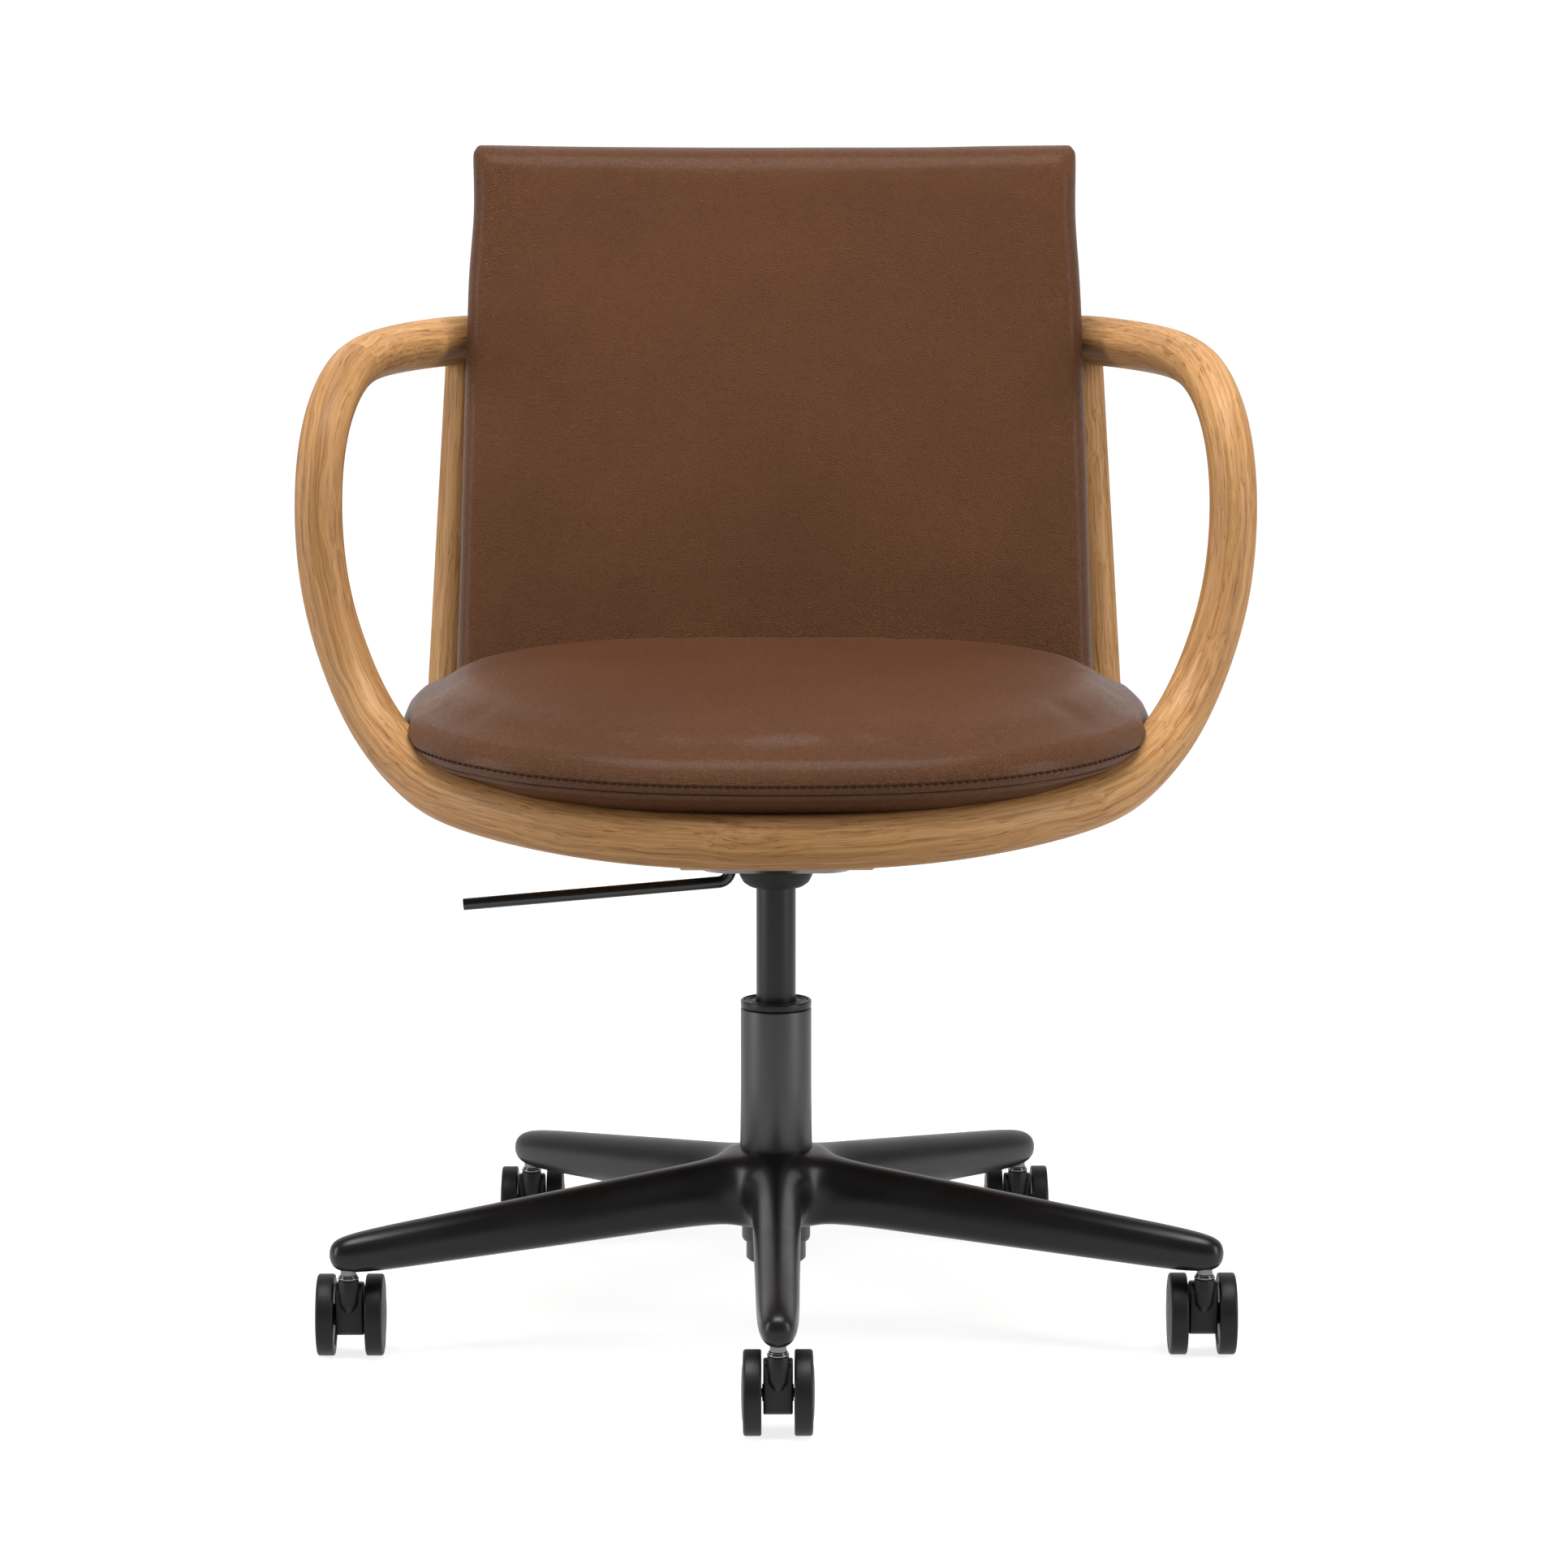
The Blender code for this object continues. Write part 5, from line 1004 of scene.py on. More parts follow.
def grain_along_y(tree):
    """Grain that runs front to back, for the straight pieces under the seat."""
    where = node(tree, "ShaderNodeTexCoord").outputs["Object"]
    parts = node(tree, "ShaderNodeSeparateXYZ", {0: where}).outputs
    swapped = node(tree, "ShaderNodeCombineXYZ", {"X": parts["Y"], "Y": parts["X"], "Z": parts["Z"]})
    return swapped.outputs[0], 0.0


oak_grain = build_oak_group()
oak = wooden("oiled_oak", stored_grain)
bearer_oak = wooden("bearer_oak", grain_along_y)

finger_reach = round(FINGER_LENGTH / 2 / pitch) + 2
front_joint = nearest_station(0, 0.815 * LOOP_HALF_WIDTH, 0, widest)
arm_butt = 6 * round(nearest_station(1, ARM_UPRIGHT_Y + 0.26 * (BACK_RAIL_Y - ARM_UPRIGHT_Y), widest) / 6)
rear_joint = nearest_station(0, STILE_TOP_X - STILE_RADIUS - FINGER_LENGTH, arm_butt)

front_route = [(s, -1) for s in range(front_joint + finger_reach, 0, -1)]
front_route += [(s, 1) for s in range(0, front_joint + finger_reach + 1)]
front_rail = stave("front_rail_piece", front_route)
back_route = [(s, -1) for s in range(rear_joint - finger_reach, STATIONS - 1)]
back_route += [(s, 1) for s in range(STATIONS - 1, rear_joint - finger_reach - 1, -1)]
back_rail = stave("back_rail_piece", back_route)
for board, (hand, side) in enumerate((("right", 1), ("left", -1))):
    arm_route = [(s, side) for s in range(front_joint - finger_reach, arm_butt + 1)]
    arm = stave(f"arm_{hand}_piece", arm_route)
    rest_route = [(s, side) for s in range(arm_butt, rear_joint + finger_reach + 1)]
    rest = stave(f"armrest_{hand}_piece", rest_route, lead=GAP)
    carve(front_rail, finger_block("front_far", front_joint, side, -1, 0.0))
    carve(arm, finger_block("front_near", front_joint, side, 1, JOINT_LINE))
    carve(rest, finger_block("rear_far", rear_joint, side, -1, 0.0))
    carve(back_rail, finger_block("rear_near", rear_joint, side, 1, JOINT_LINE))
    finish_stave(arm, arm_route, f"arm_{hand}", 3 + board)
    finish_stave(rest, rest_route, f"armrest_{hand}", 5 + board)
finish_stave(front_rail, front_route, "front_rail", 1)

SCREW_X = 0.1200
BACK_SCREW_STATION = nearest_station(0, SCREW_X, 3 * STATIONS // 4)


def at_back_screw(side):
    x, y, z = centre[BACK_SCREW_STATION]
    return Matrix.Translation((side * SCREW_X, y, z)) @ Matrix.Rotation(-math.pi / 2, 4, "X")


seat_y = LOOP_DEPTH_HALF + GAP
tip_y = (shell_rear(SCREW_X, centre[BACK_SCREW_STATION][2]) - 0.6 * SHELL_THICKNESS
         - centre[BACK_SCREW_STATION][1])
hexagon = [(0.0018 * math.cos(i * math.tau / 6), 0.0018 * math.sin(i * math.tau / 6)) for i in range(6)]
for hand, side in (("right", 1), ("left", -1)):
    place = at_back_screw(side)
    screw = turned(f"back_screw_{hand}_piece", eased([
        (0, tip_y), (0.0025, tip_y), (0.0025, seat_y), (0.0055, seat_y), (0.0050, seat_y + 0.0025),
        (0, seat_y + 0.0025)], [0, 0.0004, 0, 0.0003, 0.0015, 0]), 48, place)
    carve(screw, slab("hex_socket", hexagon, seat_y + 0.0008, seat_y + 0.01, place))
    smooth(screw, 35)
    finish_piece(screw, "seat", plain_steel, "steel", f"back_screw_{hand}")
    carve(back_rail, turned("screw_hole", [
        (0, tip_y - 0.001), (0.0027, tip_y - 0.001), (0.0027, seat_y - 0.0004), (0.0058, seat_y - 0.0004),
        (0.0058, 0.04), (0, 0.04)], 48, place))
finish_stave(back_rail, back_route, "back_rail", 2)


# Stiles and rear rail. A round stile leans from each rear corner of the seat up to the loop, coped to its
# underside, and a square-shouldered rail ties their feet behind the foot of the shell.

REAR_RAIL_HALF = 0.0170
REAR_RAIL_Z = 0.3870
REAR_RAIL_Y = shell_rear(0, REAR_RAIL_Z + REAR_RAIL_HALF / 2) + GAP + REAR_RAIL_HALF


def build_stile(name, top, foot):
    run = foot - top
    level = run.cross(Vector((0, 1, 0))).normalized()
    over = run.cross(level).normalized()
    straight = run.length - STILE_FOOT_ROUND
    marks = [(k / 40 * straight, STILE_RADIUS) for k in range(41)]
    marks += [(straight + STILE_FOOT_ROUND * math.sin(a), STILE_RADIUS - STILE_FOOT_ROUND * (1 - math.cos(a)))
              for a in [math.pi / 2 * k / 6 for k in range(1, 7)]]

    def place(row, turn):
        along, radius = marks[row]
        return top + run.normalized() * along + radius * (math.cos(turn) * level + math.sin(turn) * over)

    return tube(name, len(marks), 56, place), np.array(level)


def rail_place(row, turn):
    a, b = rounded_square(REAR_RAIL_HALF, REAR_RAIL_HALF, 3.0, turn)
    return (-STILE_FOOT_X + 2 * STILE_FOOT_X * row / 60, REAR_RAIL_Y + b, REAR_RAIL_Z + a)


rear_rail = tube("rear_rail_piece", 61, 56, rail_place)
for board, (hand, side) in enumerate((("right", 1), ("left", -1))):
    s = nearest_station(0, STILE_TOP_X, STATIONS // 2)
    top = Vector((side * centre[s][0], centre[s][1], centre[s][2]))
    foot = Vector((side * STILE_FOOT_X, REAR_RAIL_Y, REAR_RAIL_Z - 0.0150))
    stile, level = build_stile(f"stile_{hand}_piece", top, foot)
    near = [(k, side) for k in range(s - 16, s + 17)]
    carve(stile, stave("cope", near, JOINT_LINE))
    sleeve, _ = build_stile("sleeve", top, foot + (foot - top).normalized() * 0.02)
    carve(rear_rail, sleeve)
    line = np.array([top.lerp(foot, k / 40) for k in range(41)])
    lay_grain(stile, line, np.tile(level, (41, 1)), 7 + board)
    smooth(stile, 35)
    finish_piece(stile, "seat", oak, "oak", f"stile_{hand}")
line = np.array([(-STILE_FOOT_X + 2 * STILE_FOOT_X * k / 60, REAR_RAIL_Y, REAR_RAIL_Z) for k in range(61)])
lay_grain(rear_rail, line, np.tile([0.0, 0.0, 1.0], (61, 1)), 9)
smooth(rear_rail, 35)
finish_piece(rear_rail, "seat", oak, "oak", "rear_rail")


# Bearers and seat pan. Two oak bearers run front to back under the moulded ply pan. Straight and hidden from
# most sides, they keep their solids' own shape and take the oak with its grain along them.

for name in ("seat_bearer_right", "seat_bearer_left", "seat_pan"):
    cad[name].data.materials.clear()
    cad[name].data.materials.append(bearer_oak)


# Seat cushion. A crowned leather pad, rounder in front than behind, widest at the stitched line where its top
# panel meets the border. Its sides draw in below that line, and it rests on the pan, the rail and the arms.

SEAM_Z = 0.4395
SEAM_FRONT_DROP = 0.0110
CROWN_HEIGHT = 0.0400
CROWN_REACH = 0.1700
SEAT_PULL_IN = 0.0200
SEAT_HALF_WIDTH = 0.2611
SEAT_FRONT_Y = -0.2600
SEAT_REAR_Y = back_middle(0, SEAM_Z) - BACK_THICKNESS / 2 - 0.0010
CUSHION_BOTTOM = 0.3974
STITCH_PITCH = 0.0055
STITCH_HALF = (0.0020, 0.00075, 0.00065)  # length, width, height
STITCH_RISE = 0.0007
BORDER_SEAM = -0.0070  # the border's own fine seam, below the stitched line
SEAM_LINE = 0.0009  # half the width of its dark line
FINE_FROM, FINE_TO, FINE_STEP = -0.0120, 0.0060, 0.0005  # close rows about the stitched line
SEAT_FORM_SHRINK = 0.0035
SEAT_FORM_SWELL = 0.0055
SEAT_WRAP_FROM, SEAT_WRAP_BLEND = 0.0080, 0.0350  # where the skin begins to follow its form, and over what way
CLOTH_PRESSURE = 4.0
CLOTH_FRAMES = 20
FORM_VOXEL = 0.005
SEAT_MIDDLE_Y = -0.03
LEATHER_RELIEF = 0.00034
BELLY = SEAM_Z - CUSHION_BOTTOM
CUSHION_LEVELS = [
    (2.1 * SEAT_PULL_IN, CUSHION_BOTTOM, 0.0), (SEAT_PULL_IN, CUSHION_BOTTOM + 0.1 * BELLY, 0.1),
    (0.60 * SEAT_PULL_IN, CUSHION_BOTTOM + 0.35 * BELLY, 0.5),
    (0.20 * SEAT_PULL_IN, CUSHION_BOTTOM + 0.7 * BELLY, 0.85), (0.0, SEAM_Z, 1.0),
] + [(CROWN_REACH * reach, SEAM_Z + CROWN_HEIGHT * rise, share) for reach, rise, share in (
    (0.012, 0.20, 1.0), (0.047, 0.44, 1.0), (0.141, 0.68, 0.95), (0.27, 0.83, 0.9), (0.435, 0.93, 0.8),
    (0.647, 0.985, 0.6), (1.0, 1.0, 0.3), (1.25, 1.01, 0.1), (1.47, 1.015, 0.0))]
levels = np.array(CUSHION_LEVELS)
reach = np.concatenate([[0], np.cumsum(np.hypot(np.diff(levels[:, 0]), np.diff(levels[:, 1])))])
reach -= reach[4]  # measured from the stitched line


def cushion_place(run, turn, shrink=0.0):
    """A point of the cushion, a distance up its side from the stitched line and round it by a turn."""
    inset, z, share = (np.interp(run, reach, levels[:, k]) for k in range(3))
    front, rear = SEAT_FRONT_Y + 0.9 * inset + shrink, SEAT_REAR_Y - 0.4 * inset - shrink
    power = 3.6 if math.sin(turn) > 0 else 2.45
    x, y = rounded_square(SEAT_HALF_WIDTH - inset - shrink, (rear - front) / 2, power, turn)
    forward = max(0.0, -y / (rear - front) * 2)
    lift = shrink * (1 - 2 * min(1.0, max(0.0, (z - CUSHION_BOTTOM) / (BELLY + CROWN_HEIGHT))))
    return x, (front + rear) / 2 + y, z + lift - SEAM_FRONT_DROP * share * forward ** 2


def set_points(piece, points):
    piece.data.vertices.foreach_set("co", points.ravel())
    piece.data.update()


def seam_values(piece):
    values = np.empty(len(piece.data.vertices))
    piece.data.attributes["seam"].data.foreach_get("value", values)
    return values


def plumped(piece, cap):
    """Blows a slightly small pad up as cloth, no point moving further than the cap."""
    remesh = piece.modifiers.new("even_mesh", "REMESH")
    remesh.mode = "VOXEL"
    remesh.voxel_size = FORM_VOXEL
    apply_modifiers(piece)
    start = mesh_points(piece)
    cloth = piece.modifiers.new("cloth", "CLOTH")
    cloth.settings.quality = 6
    cloth.settings.use_pressure = True
    cloth.settings.uniform_pressure_force = CLOTH_PRESSURE
    cloth.settings.effector_weights.gravity = 0
    for frame_number in range(1, CLOTH_FRAMES + 1):
        bpy.context.scene.frame_set(frame_number)
    blown = piece.evaluated_get(bpy.context.evaluated_depsgraph_get())
    moved = np.empty(len(blown.data.vertices) * 3)
    blown.data.vertices.foreach_get("co", moved)
    shift = moved.reshape(-1, 3) - start
    length = np.linalg.norm(shift, axis=1)[:, None]
    piece.modifiers.remove(cloth)
    set_points(piece, start + shift * np.minimum(1.0, cap / np.maximum(length, 1e-9)))
    bpy.context.scene.frame_set(1)
    subdivided(piece, 1)
    apply_modifiers(piece)
    return piece


def wrapped(piece, form, give):
    """Lays a finer skin on a plumped form by a share at each point, then removes the form."""
    own = mesh_points(piece)
    wrap = piece.modifiers.new("wrap", "SHRINKWRAP")
    wrap.target = form
    wrap.wrap_method = "NEAREST_SURFACEPOINT"
    ease = piece.modifiers.new("ease", "CORRECTIVE_SMOOTH")
    ease.iterations = 4
    ease.use_only_smooth = True
    apply_modifiers(piece)
    share = np.clip(give, 0, 1)[:, None]
    share = share * share * (3 - 2 * share)
    set_points(piece, own + share * (mesh_points(piece) - own))
    bpy.data.objects.remove(form, do_unlink=True)


def vertex_normals(piece):
    normals = np.empty(len(piece.data.vertices) * 3)
    piece.data.vertex_normals.foreach_get("vector", normals)
    return normals.reshape(-1, 3)


def clear_of_loop(piece, points):
    """Draws what lies in the oak loop level towards the seat's middle until it is out, and eases the rest."""
    inward = np.column_stack([-points[:, 0], SEAT_MIDDLE_Y - points[:, 1], np.zeros(len(points))])
    inward /= np.maximum(np.linalg.norm(inward, axis=1), 1e-9)[:, None]
    need = np.zeros(len(points))
    for i, point in enumerate(points):
        side = 1 if point[0] >= 0 else -1
        for _ in range(200):
            here = (point + need[i] * inward[i]) * (side, 1, 1)
            s = int(np.argmin(((centre - here) ** 2).sum(axis=1)))
            a, b = (here - centre[s]) @ across[s], (here - centre[s]) @ third[s]
            power = roundness[s]
            if (abs(a) / (half_height[s] + GAP)) ** power + (abs(b) / (half_depth[s] + GAP)) ** power >= 1:
                break
            need[i] += 0.0001
    ends = np.empty(2 * len(piece.data.edges), dtype=int)
    piece.data.edges.foreach_get("vertices", ends)
    one, other = ends.reshape(-1, 2).T
    share = np.bincount(ends, minlength=len(points))
    shift = need
    for _ in range(20):
        around = np.bincount(one, shift[other], len(points)) + np.bincount(other, shift[one], len(points))
        shift = np.maximum(need, around / share)
    return points + shift[:, None] * inward


def build_leather_group():
    """Pebbled leather: cells and creases about a millimetre across, on slow clouds of colour and sheen."""
    group, inside, outside = skin_group("pebbled_leather", ("Vector", "NodeSocketVector", None))
    vector = inside.outputs["Vector"]
    wander = node(group, "ShaderNodeTexNoise", {"Vector": vector, "Scale": 260.0, "Detail": 2.0})
    bent = calc(group, "MULTIPLY_ADD", wander.outputs["Color"], (0.0016, 0.0016, 0.0016), vector,
                kind="ShaderNodeVectorMath")

    def cells(scale, top):
        made = node(group, "ShaderNodeTexVoronoi", {"Scale": scale, "Vector": bent}, feature="DISTANCE_TO_EDGE")
        return spread(group, made.outputs["Distance"], 0, 1, 0, top, interpolation_type="SMOOTHSTEP")

    pebbles, specks = cells(620.0, 0.22), cells(1300.0, 0.25)
    cloud = noise(group, vector, 7.0, 3.0, 0.55)
    mottle = noise(group, vector, 420.0, 3.0, 0.6)
    colour = ramp(group, cloud, [(0.30, (0.072, 0.0264, 0.0102)), (0.70, (0.091, 0.0336, 0.0131))])
    # the pebbles darken the colour along their creases: painted shade in the grain's hollows; the mottle is the
    # leather's own uneven tone
    for factor, source, stops in (
            (0.55, pebbles, [(0.0, (0.62, 0.56, 0.52)), (0.55, (1.0, 1.0, 1.0))]),
            (0.60, mottle, [(0.34, (0.80, 0.77, 0.75)), (0.50, (1.0, 1.0, 1.0)), (0.66, (1.08, 1.08, 1.07))])):
        colour = mixed(group, "MULTIPLY", factor, colour, ramp(group, source, stops))
    return give(group, outside, colour, spread(group, mottle, 0.46, 0.34),
                calc(group, "MULTIPLY_ADD", specks, 0.35, pebbles))


def hide(name, seam=None):
    """Leather material, with a dark line where the stored seam value is met."""
    material, tree, shader = new_material(name)
    skin = node(tree, "ShaderNodeGroup", node_tree=pebbled_leather)
    feed(tree, node(tree, "ShaderNodeTexCoord").outputs["Object"], skin.inputs["Vector"])
    colour = skin.outputs["Color"]
    if seam is not None:
        line = node(tree, "ShaderNodeAttribute", attribute_name="seam").outputs["Fac"]
        far = calc(tree, "ABSOLUTE", calc(tree, "SUBTRACT", line, seam))
        groove = spread(tree, far, 0, 1, 0, SEAM_LINE, interpolation_type="SMOOTHSTEP")
        shade = ramp(tree, groove, [(0.0, (0.30, 0.26, 0.24)), (0.8, (1.0, 1.0, 1.0))])
        colour = mixed(tree, "MULTIPLY", 1.0, colour, shade)
    dress(tree, shader, skin, LEATHER_RELIEF, colour)
    shader.inputs["Specular IOR Level"].default_value = 0.26
    shader.inputs["Specular Tint"].default_value = (1.0, 0.66, 0.46, 1)
    shader.inputs["Coat Weight"].default_value = 0.06
    shader.inputs["Coat Roughness"].default_value = 0.24
    return material


pebbled_leather = build_leather_group()
seat_leather = hide("seat_leather", seam=BORDER_SEAM)
thread_brown = coated("brown_thread", (0.014, 0.005, 0.0024), (0.026, 0.010, 0.005), (0.60, 0.75), grain=2600.0,
                      bump=0.00006, specular=0.08)


def sewn(piece, offsets):
    """Moves the skin in and out along its normals, by its distance from the seam."""
    at, depth = zip(*offsets)
    moved = np.interp(seam_values(piece), at, depth)[:, None]
    set_points(piece, mesh_points(piece) + vertex_normals(piece) * moved)


def unevenness(points, scale, amount, seed):
    shift = Vector((seed, 0, 0))
    return np.array([amount * field.noise(Vector(point) * scale + shift) for point in points])


form = tube("seat_form", 60, 140, lambda row, turn: cushion_place(
    reach[0] + (reach[-1] - reach[0]) * row / 59, turn, SEAT_FORM_SHRINK))
form = plumped(form, SEAT_FORM_SWELL)
fine_rows = round((FINE_TO - FINE_FROM) / FINE_STEP)
runs = np.concatenate([
    np.linspace(reach[0], FINE_FROM, 14, endpoint=False), FINE_FROM + FINE_STEP * np.arange(fine_rows),
    np.linspace(FINE_TO, reach[-1], 60)])
cushion = tube("seat_cushion_piece", len(runs), 300, lambda row, turn: cushion_place(runs[row], turn),
               lambda row, turn: runs[row])
tags = seam_values(cushion)
wrapped(cushion, form, (tags - SEAT_WRAP_FROM) / SEAT_WRAP_BLEND)
sewn(cushion, [(-0.0100, 0), (-0.0079, 0), (-0.0070, -0.0008), (-0.0061, 0), (-0.0035, 0.0004),
               (-0.0012, 0.0001), (0, -0.0008), (0.0013, 0.0001), (0.0050, 0.0004), (0.0150, 0)])
points = mesh_points(cushion)
points += vertex_normals(cushion) * unevenness(points, 15.0, 0.0007, 3.0)[:, None]
points[:, 2] = np.maximum(points[:, 2], CUSHION_BOTTOM)
front_of_back = np.array([back_middle(x, z) for x, y, z in points]) - BACK_THICKNESS / 2 - 0.0006
points[:, 1] = np.minimum(points[:, 1], front_of_back)
points = clear_of_loop(cushion, points)
set_points(cushion, points)
smooth(cushion, 60)
finish_piece(cushion, "seat", seat_leather, "leather", "seat_cushion")

# Stitches along the line, each a short thread lying in its crease
normals = vertex_normals(cushion)
ring_points = np.nonzero(np.abs(tags) < 1e-6)[0]
middle = mesh_points(cushion)[ring_points].mean(axis=0)
ring_points = sorted(ring_points, key=lambda i: math.atan2(points[i, 1] - middle[1], points[i, 0] - middle[0]))
line = points[ring_points + ring_points[:1]]
along = run_of(line)
count = round(along[-1] / STITCH_PITCH)
take()
bpy.ops.mesh.primitive_uv_sphere_add(segments=10, ring_count=8, radius=1, location=(0, 0, 0))
stitch = named("stitch_pattern")
stitch.scale = STITCH_HALF
settle(stitch)
take()
threads = []
for k in range(count):
    at = along[-1] * (k + 0.5) / count
    here = Vector([np.interp(at, along, line[:, axis]) for axis in range(3)])
    ahead = Vector([np.interp(min(at + 0.002, along[-1]), along, line[:, axis]) for axis in range(3)]) - here
    nearest = ring_points[min(int(np.searchsorted(along, at)), len(ring_points)) - 1]
    up = Vector(normals[nearest])
    ahead = (ahead - up * ahead.dot(up)).normalized()
    lie = Matrix((ahead, up.cross(ahead), up)).transposed().to_4x4()
    lie.translation = here + up * STITCH_RISE
    thread = bpy.data.objects.new("stitch", stitch.data.copy())
    bpy.context.collection.objects.link(thread)
    thread.matrix_world = lie
    thread.select_set(True)
    threads.append(thread)
bpy.context.view_layer.objects.active = threads[0]
bpy.ops.object.join()
stitching = named("seat_stitching")
settle(stitching)
bpy.data.objects.remove(stitch, do_unlink=True)
finish_piece(stitching, "seat", thread_brown, "leather")


# Back. A thin leather pad, hollowed across and forward at the lumbar, tapers a little to its square top corners,
# where the panels' seam is tucked in. It lies on a leather-covered shell whose foot reaches the rear rail.

BACK_BOTTOM_Z = 0.4250
BACK_TOP_Z = 0.8310
BACK_TOP_HALF_WIDTH = 0.2228
BACK_CORNER = 0.0060
BACK_EDGE_ROUND = 0.0260
EDGE_FULLNESS = 0.86  # under 1, a pad's edge is fuller than a half circle
BACK_TOP_DIP = 0.0030
BACK_SEAM = 0.0070  # how far the panels' seam lies behind the pad's middle
CORNER_TUCK = 0.0016
CORNER_REACH = 0.0035
BACK_FORM_SHRINK = 0.0030
BACK_FORM_SWELL = 0.0040
BACK_WRAP_FROM, BACK_WRAP_BLEND = 0.0060, 0.0450
SEAT_CLEAR_Z = 0.48  # above this the pad swells forward, more and more over the blend
SWELL_BLEND = 0.10
SWELL_FORWARD = 0.0060
SHELL_INSET = 0.055
SHELL_ROUND = 0.0035
SHELL_FOOT_WIDTH = 0.80
SHELL_FOOT_Z = 0.3853


def back_half_width(z):
    share = (z - BACK_BOTTOM_Z) / (BACK_TOP_Z - BACK_BOTTOM_Z)
    half = BACK_BOTTOM_HALF_WIDTH + share * (BACK_TOP_HALF_WIDTH - BACK_BOTTOM_HALF_WIDTH)
    half -= 0.0022 * math.exp(-((z - BACK_TOP_Z + 0.0500) / 0.0350) ** 2)
    for edge in (BACK_BOTTOM_Z, BACK_TOP_Z):
        into = BACK_CORNER - abs(z - edge)
        if into > 0:
            half -= BACK_CORNER - math.sqrt(max(0.0, BACK_CORNER ** 2 - into ** 2))
    return half


def fuller_arc(angles):
    """Points of an arc as (share out, share up), its corners a little fuller than a circle's."""
    return [(abs(math.cos(a)) ** EDGE_FULLNESS, math.copysign(abs(math.sin(a)) ** EDGE_FULLNESS, a))
            for a in angles]


def pad_section(flat, corner):
    """Section of a pad as (share of the flat width, share of the rounding, share of the half thickness)."""
    section = [(-1 + 2 * k / flat, 0.0, -1.0) for k in range(flat)]
    arc = fuller_arc([math.pi * (k / corner - 0.5) for k in range(corner + 1)])
    section += [(1.0, out, depth) for out, depth in arc[:-1]]
    section += [(1 - 2 * k / flat, 0.0, 1.0) for k in range(flat)]
    section += [(-1.0, -out, depth) for out, depth in arc[:0:-1]]
    return section


def pad_heights(low, high, rounding, flat, corner):
    """Heights of a pad's rows with the share of its thickness there, its ends rounded."""
    arc = fuller_arc([math.pi / 2 * k / corner for k in range(corner)])
    start, end = low + rounding, high - rounding
    rows = [(low + rounding * (1 - out), full) for out, full in arc]
    rows += [(start + (end - start) * k / flat, 1.0) for k in range(flat)]
    rows += [(end, 1.0)] + [(high - rounding * (1 - out), full) for out, full in arc[:0:-1]]
    return rows + [(high, 0.0)]


def at_turn(section, turn):
    return section[round(turn / math.tau * len(section)) % len(section)]


def build_back_pad(name, flat, corner, rows, shrink=0.0):
    section = pad_section(flat, corner)
    heights = pad_heights(BACK_BOTTOM_Z + shrink, BACK_TOP_Z - shrink, BACK_EDGE_ROUND, rows, corner)

    def place(row, turn):
        z, full = heights[row]
        mix, inward, depth = at_turn(section, turn)
        half = back_half_width(z) - shrink
        x = mix * (half - BACK_EDGE_ROUND) + inward * BACK_EDGE_ROUND
        y = back_middle(x, z) + depth * full * (BACK_THICKNESS / 2 - shrink)
        v = (z - BACK_BOTTOM_Z) / (BACK_TOP_Z - BACK_BOTTOM_Z)
        return x, y, z - BACK_TOP_DIP * v ** 4 * (1 - (x / half) ** 2)

    return tube(name, len(heights), len(section), place,
                lambda row, turn: at_turn(section, turn)[2] * heights[row][1] * BACK_THICKNESS / 2)


back_form = plumped(build_back_pad("back_form", 60, 16, 60, BACK_FORM_SHRINK), BACK_FORM_SWELL)
back_pad = build_back_pad("back_cushion_piece", 100, 32, 90)
points = mesh_points(back_pad)
from_side = np.array([back_half_width(z) for z in points[:, 2]]) - np.abs(points[:, 0])
from_end = np.minimum(BACK_TOP_Z - points[:, 2], points[:, 2] - BACK_BOTTOM_Z)
wrapped(back_pad, back_form, (np.minimum(from_side, from_end) - BACK_WRAP_FROM) / BACK_WRAP_BLEND)
sewn(back_pad, [(BACK_SEAM - 0.0060, 0), (BACK_SEAM - 0.0030, 0.0003), (BACK_SEAM - 0.0010, 0.0001),
                (BACK_SEAM, -0.0007), (BACK_SEAM + 0.0010, 0.0001), (BACK_SEAM + 0.0030, 0.0002),
                (BACK_SEAM + 0.0060, 0)])
points = mesh_points(back_pad)
points += vertex_normals(back_pad) * unevenness(points, 13.0, 0.0006, 11.0)[:, None]
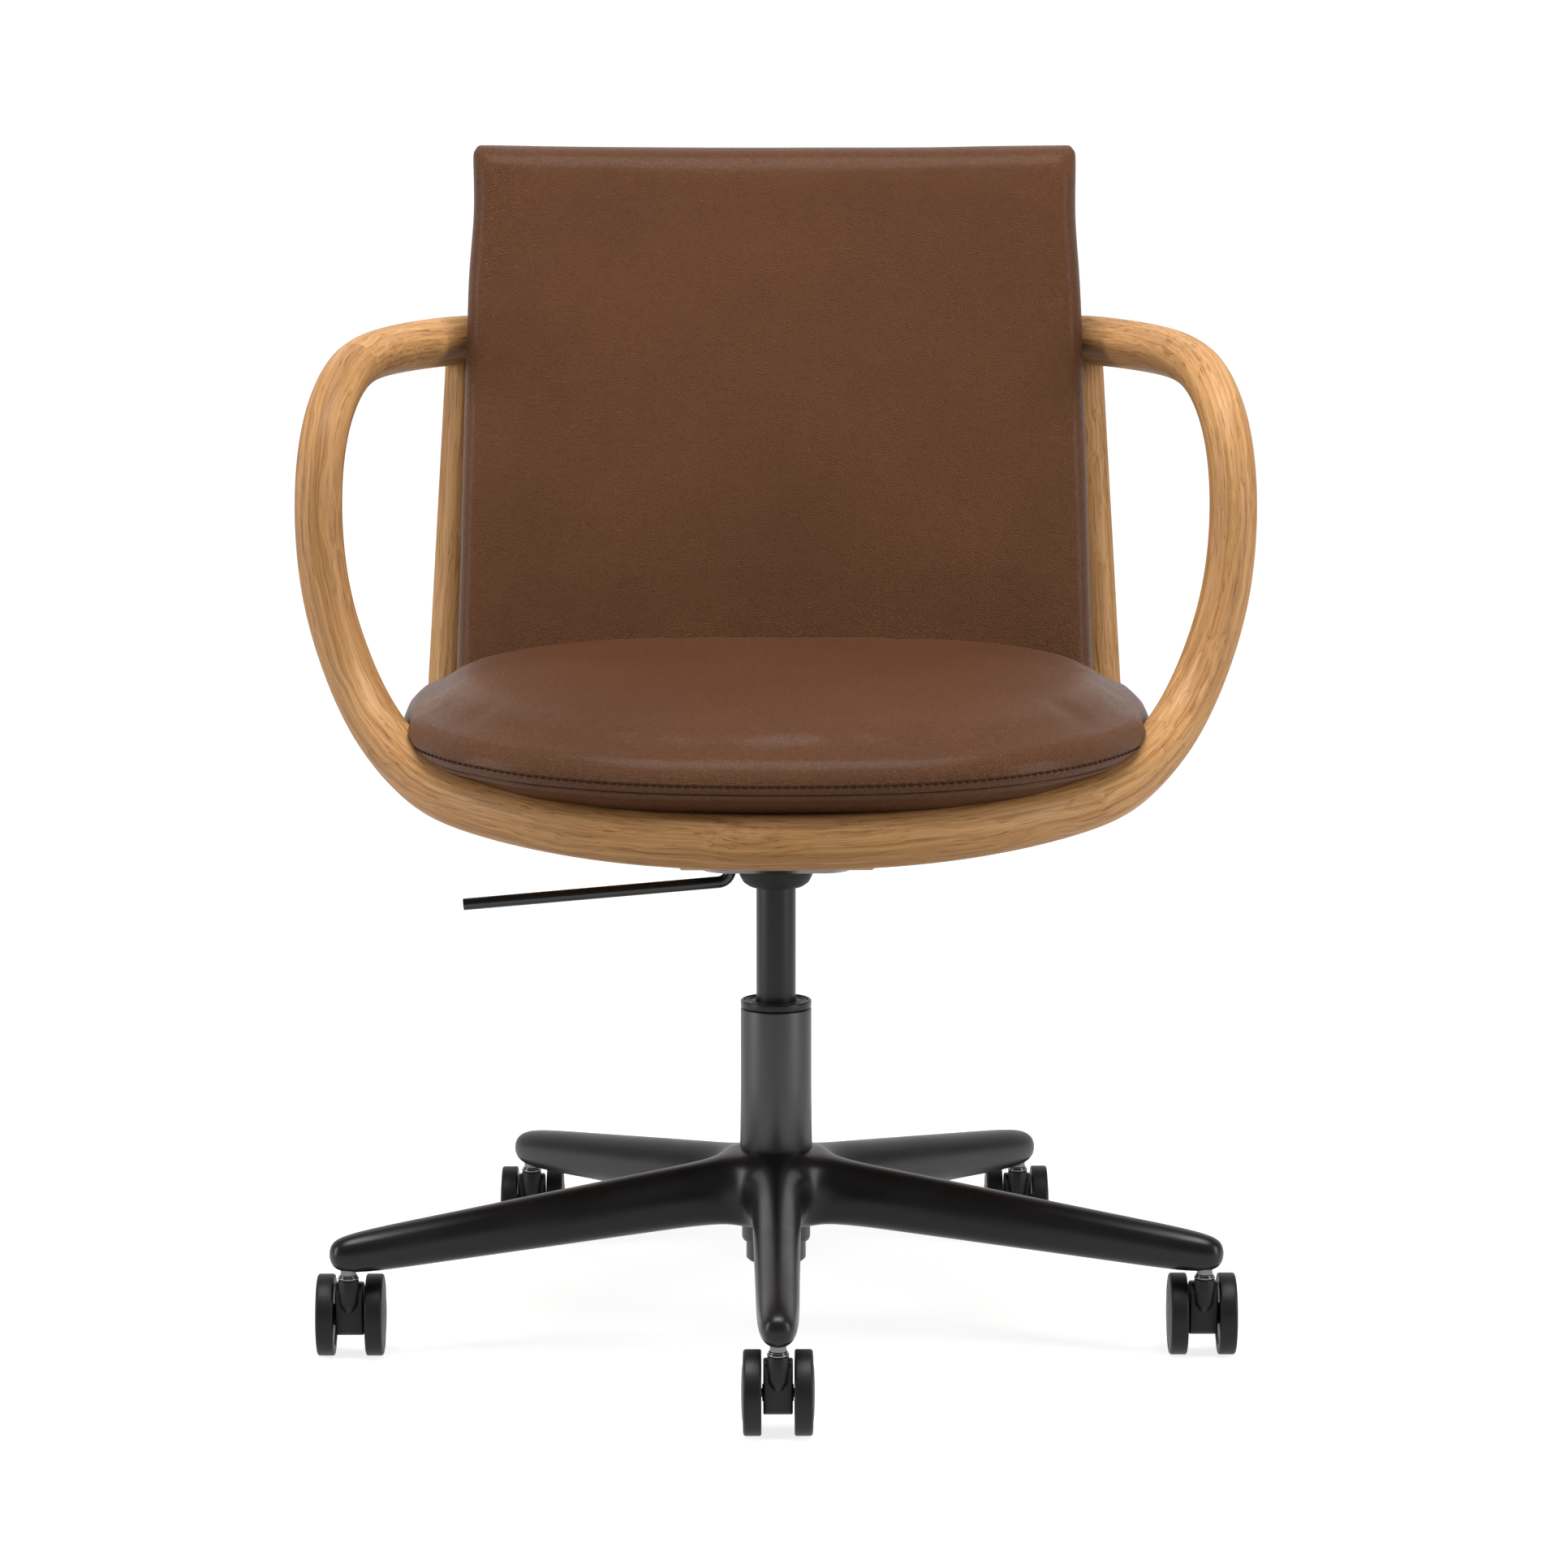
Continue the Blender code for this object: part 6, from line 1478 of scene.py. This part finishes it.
for side in (-1, 1):
    corner = (side * (BACK_TOP_HALF_WIDTH - 0.0015), back_middle(BACK_TOP_HALF_WIDTH, BACK_TOP_Z),
              BACK_TOP_Z - 0.004)
    off = points - np.array(corner)
    pinch = CORNER_TUCK * np.exp(-((off ** 2).sum(axis=1)) / CORNER_REACH ** 2)
    points[:, 0] -= side * pinch
    points[:, 2] -= 0.3 * pinch
middle = np.array([back_middle(x, z) for x, y, z in points])
points[:, 1] = np.minimum(points[:, 1], middle + BACK_THICKNESS / 2 - 0.0001)
free = np.clip((points[:, 2] - SEAT_CLEAR_Z) / SWELL_BLEND, 0, 1) ** 2 * SWELL_FORWARD
points[:, 1] = np.maximum(points[:, 1], middle - BACK_THICKNESS / 2 - free)
set_points(back_pad, points)
smooth(back_pad, 60)
finish_piece(back_pad, "seat", hide("back_leather", seam=BACK_SEAM), "leather", "back_cushion")

shell_section = pad_section(60, 8)
shell_top = BACK_TOP_Z - SHELL_INSET * (BACK_TOP_Z - BACK_BOTTOM_Z)
shell_base = BACK_BOTTOM_Z + SHELL_INSET * (BACK_TOP_Z - BACK_BOTTOM_Z)
shell_heights = pad_heights(SHELL_FOOT_Z, shell_top, SHELL_ROUND, 60, 6)


def shell_place(row, turn):
    z, full = shell_heights[row]
    mix, inward, depth = at_turn(shell_section, turn)
    half = (1 - 2 * SHELL_INSET) * back_half_width(max(z, shell_base))
    if z < shell_base:
        half *= SHELL_FOOT_WIDTH + (1 - SHELL_FOOT_WIDTH) * (z - SHELL_FOOT_Z) / (shell_base - SHELL_FOOT_Z)
    x = mix * (half - SHELL_ROUND) + inward * SHELL_ROUND
    return x, shell_rear(x, z) - SHELL_THICKNESS / 2 * (1 - depth * (0.25 + 0.75 * full)), z


back_shell = tube("back_shell_piece", len(shell_heights), len(shell_section), shell_place)
set_points(back_shell, clear_of_loop(back_shell, mesh_points(back_shell)))
for side in (-1, 1):
    carve(back_shell, plug("screw_hole", 0.0028, tip_y - 0.0004, 0, 32, at_back_screw(side)))
smooth(back_shell, 40)
finish_piece(back_shell, "seat", hide("shell_leather"), "leather", "back_shell")
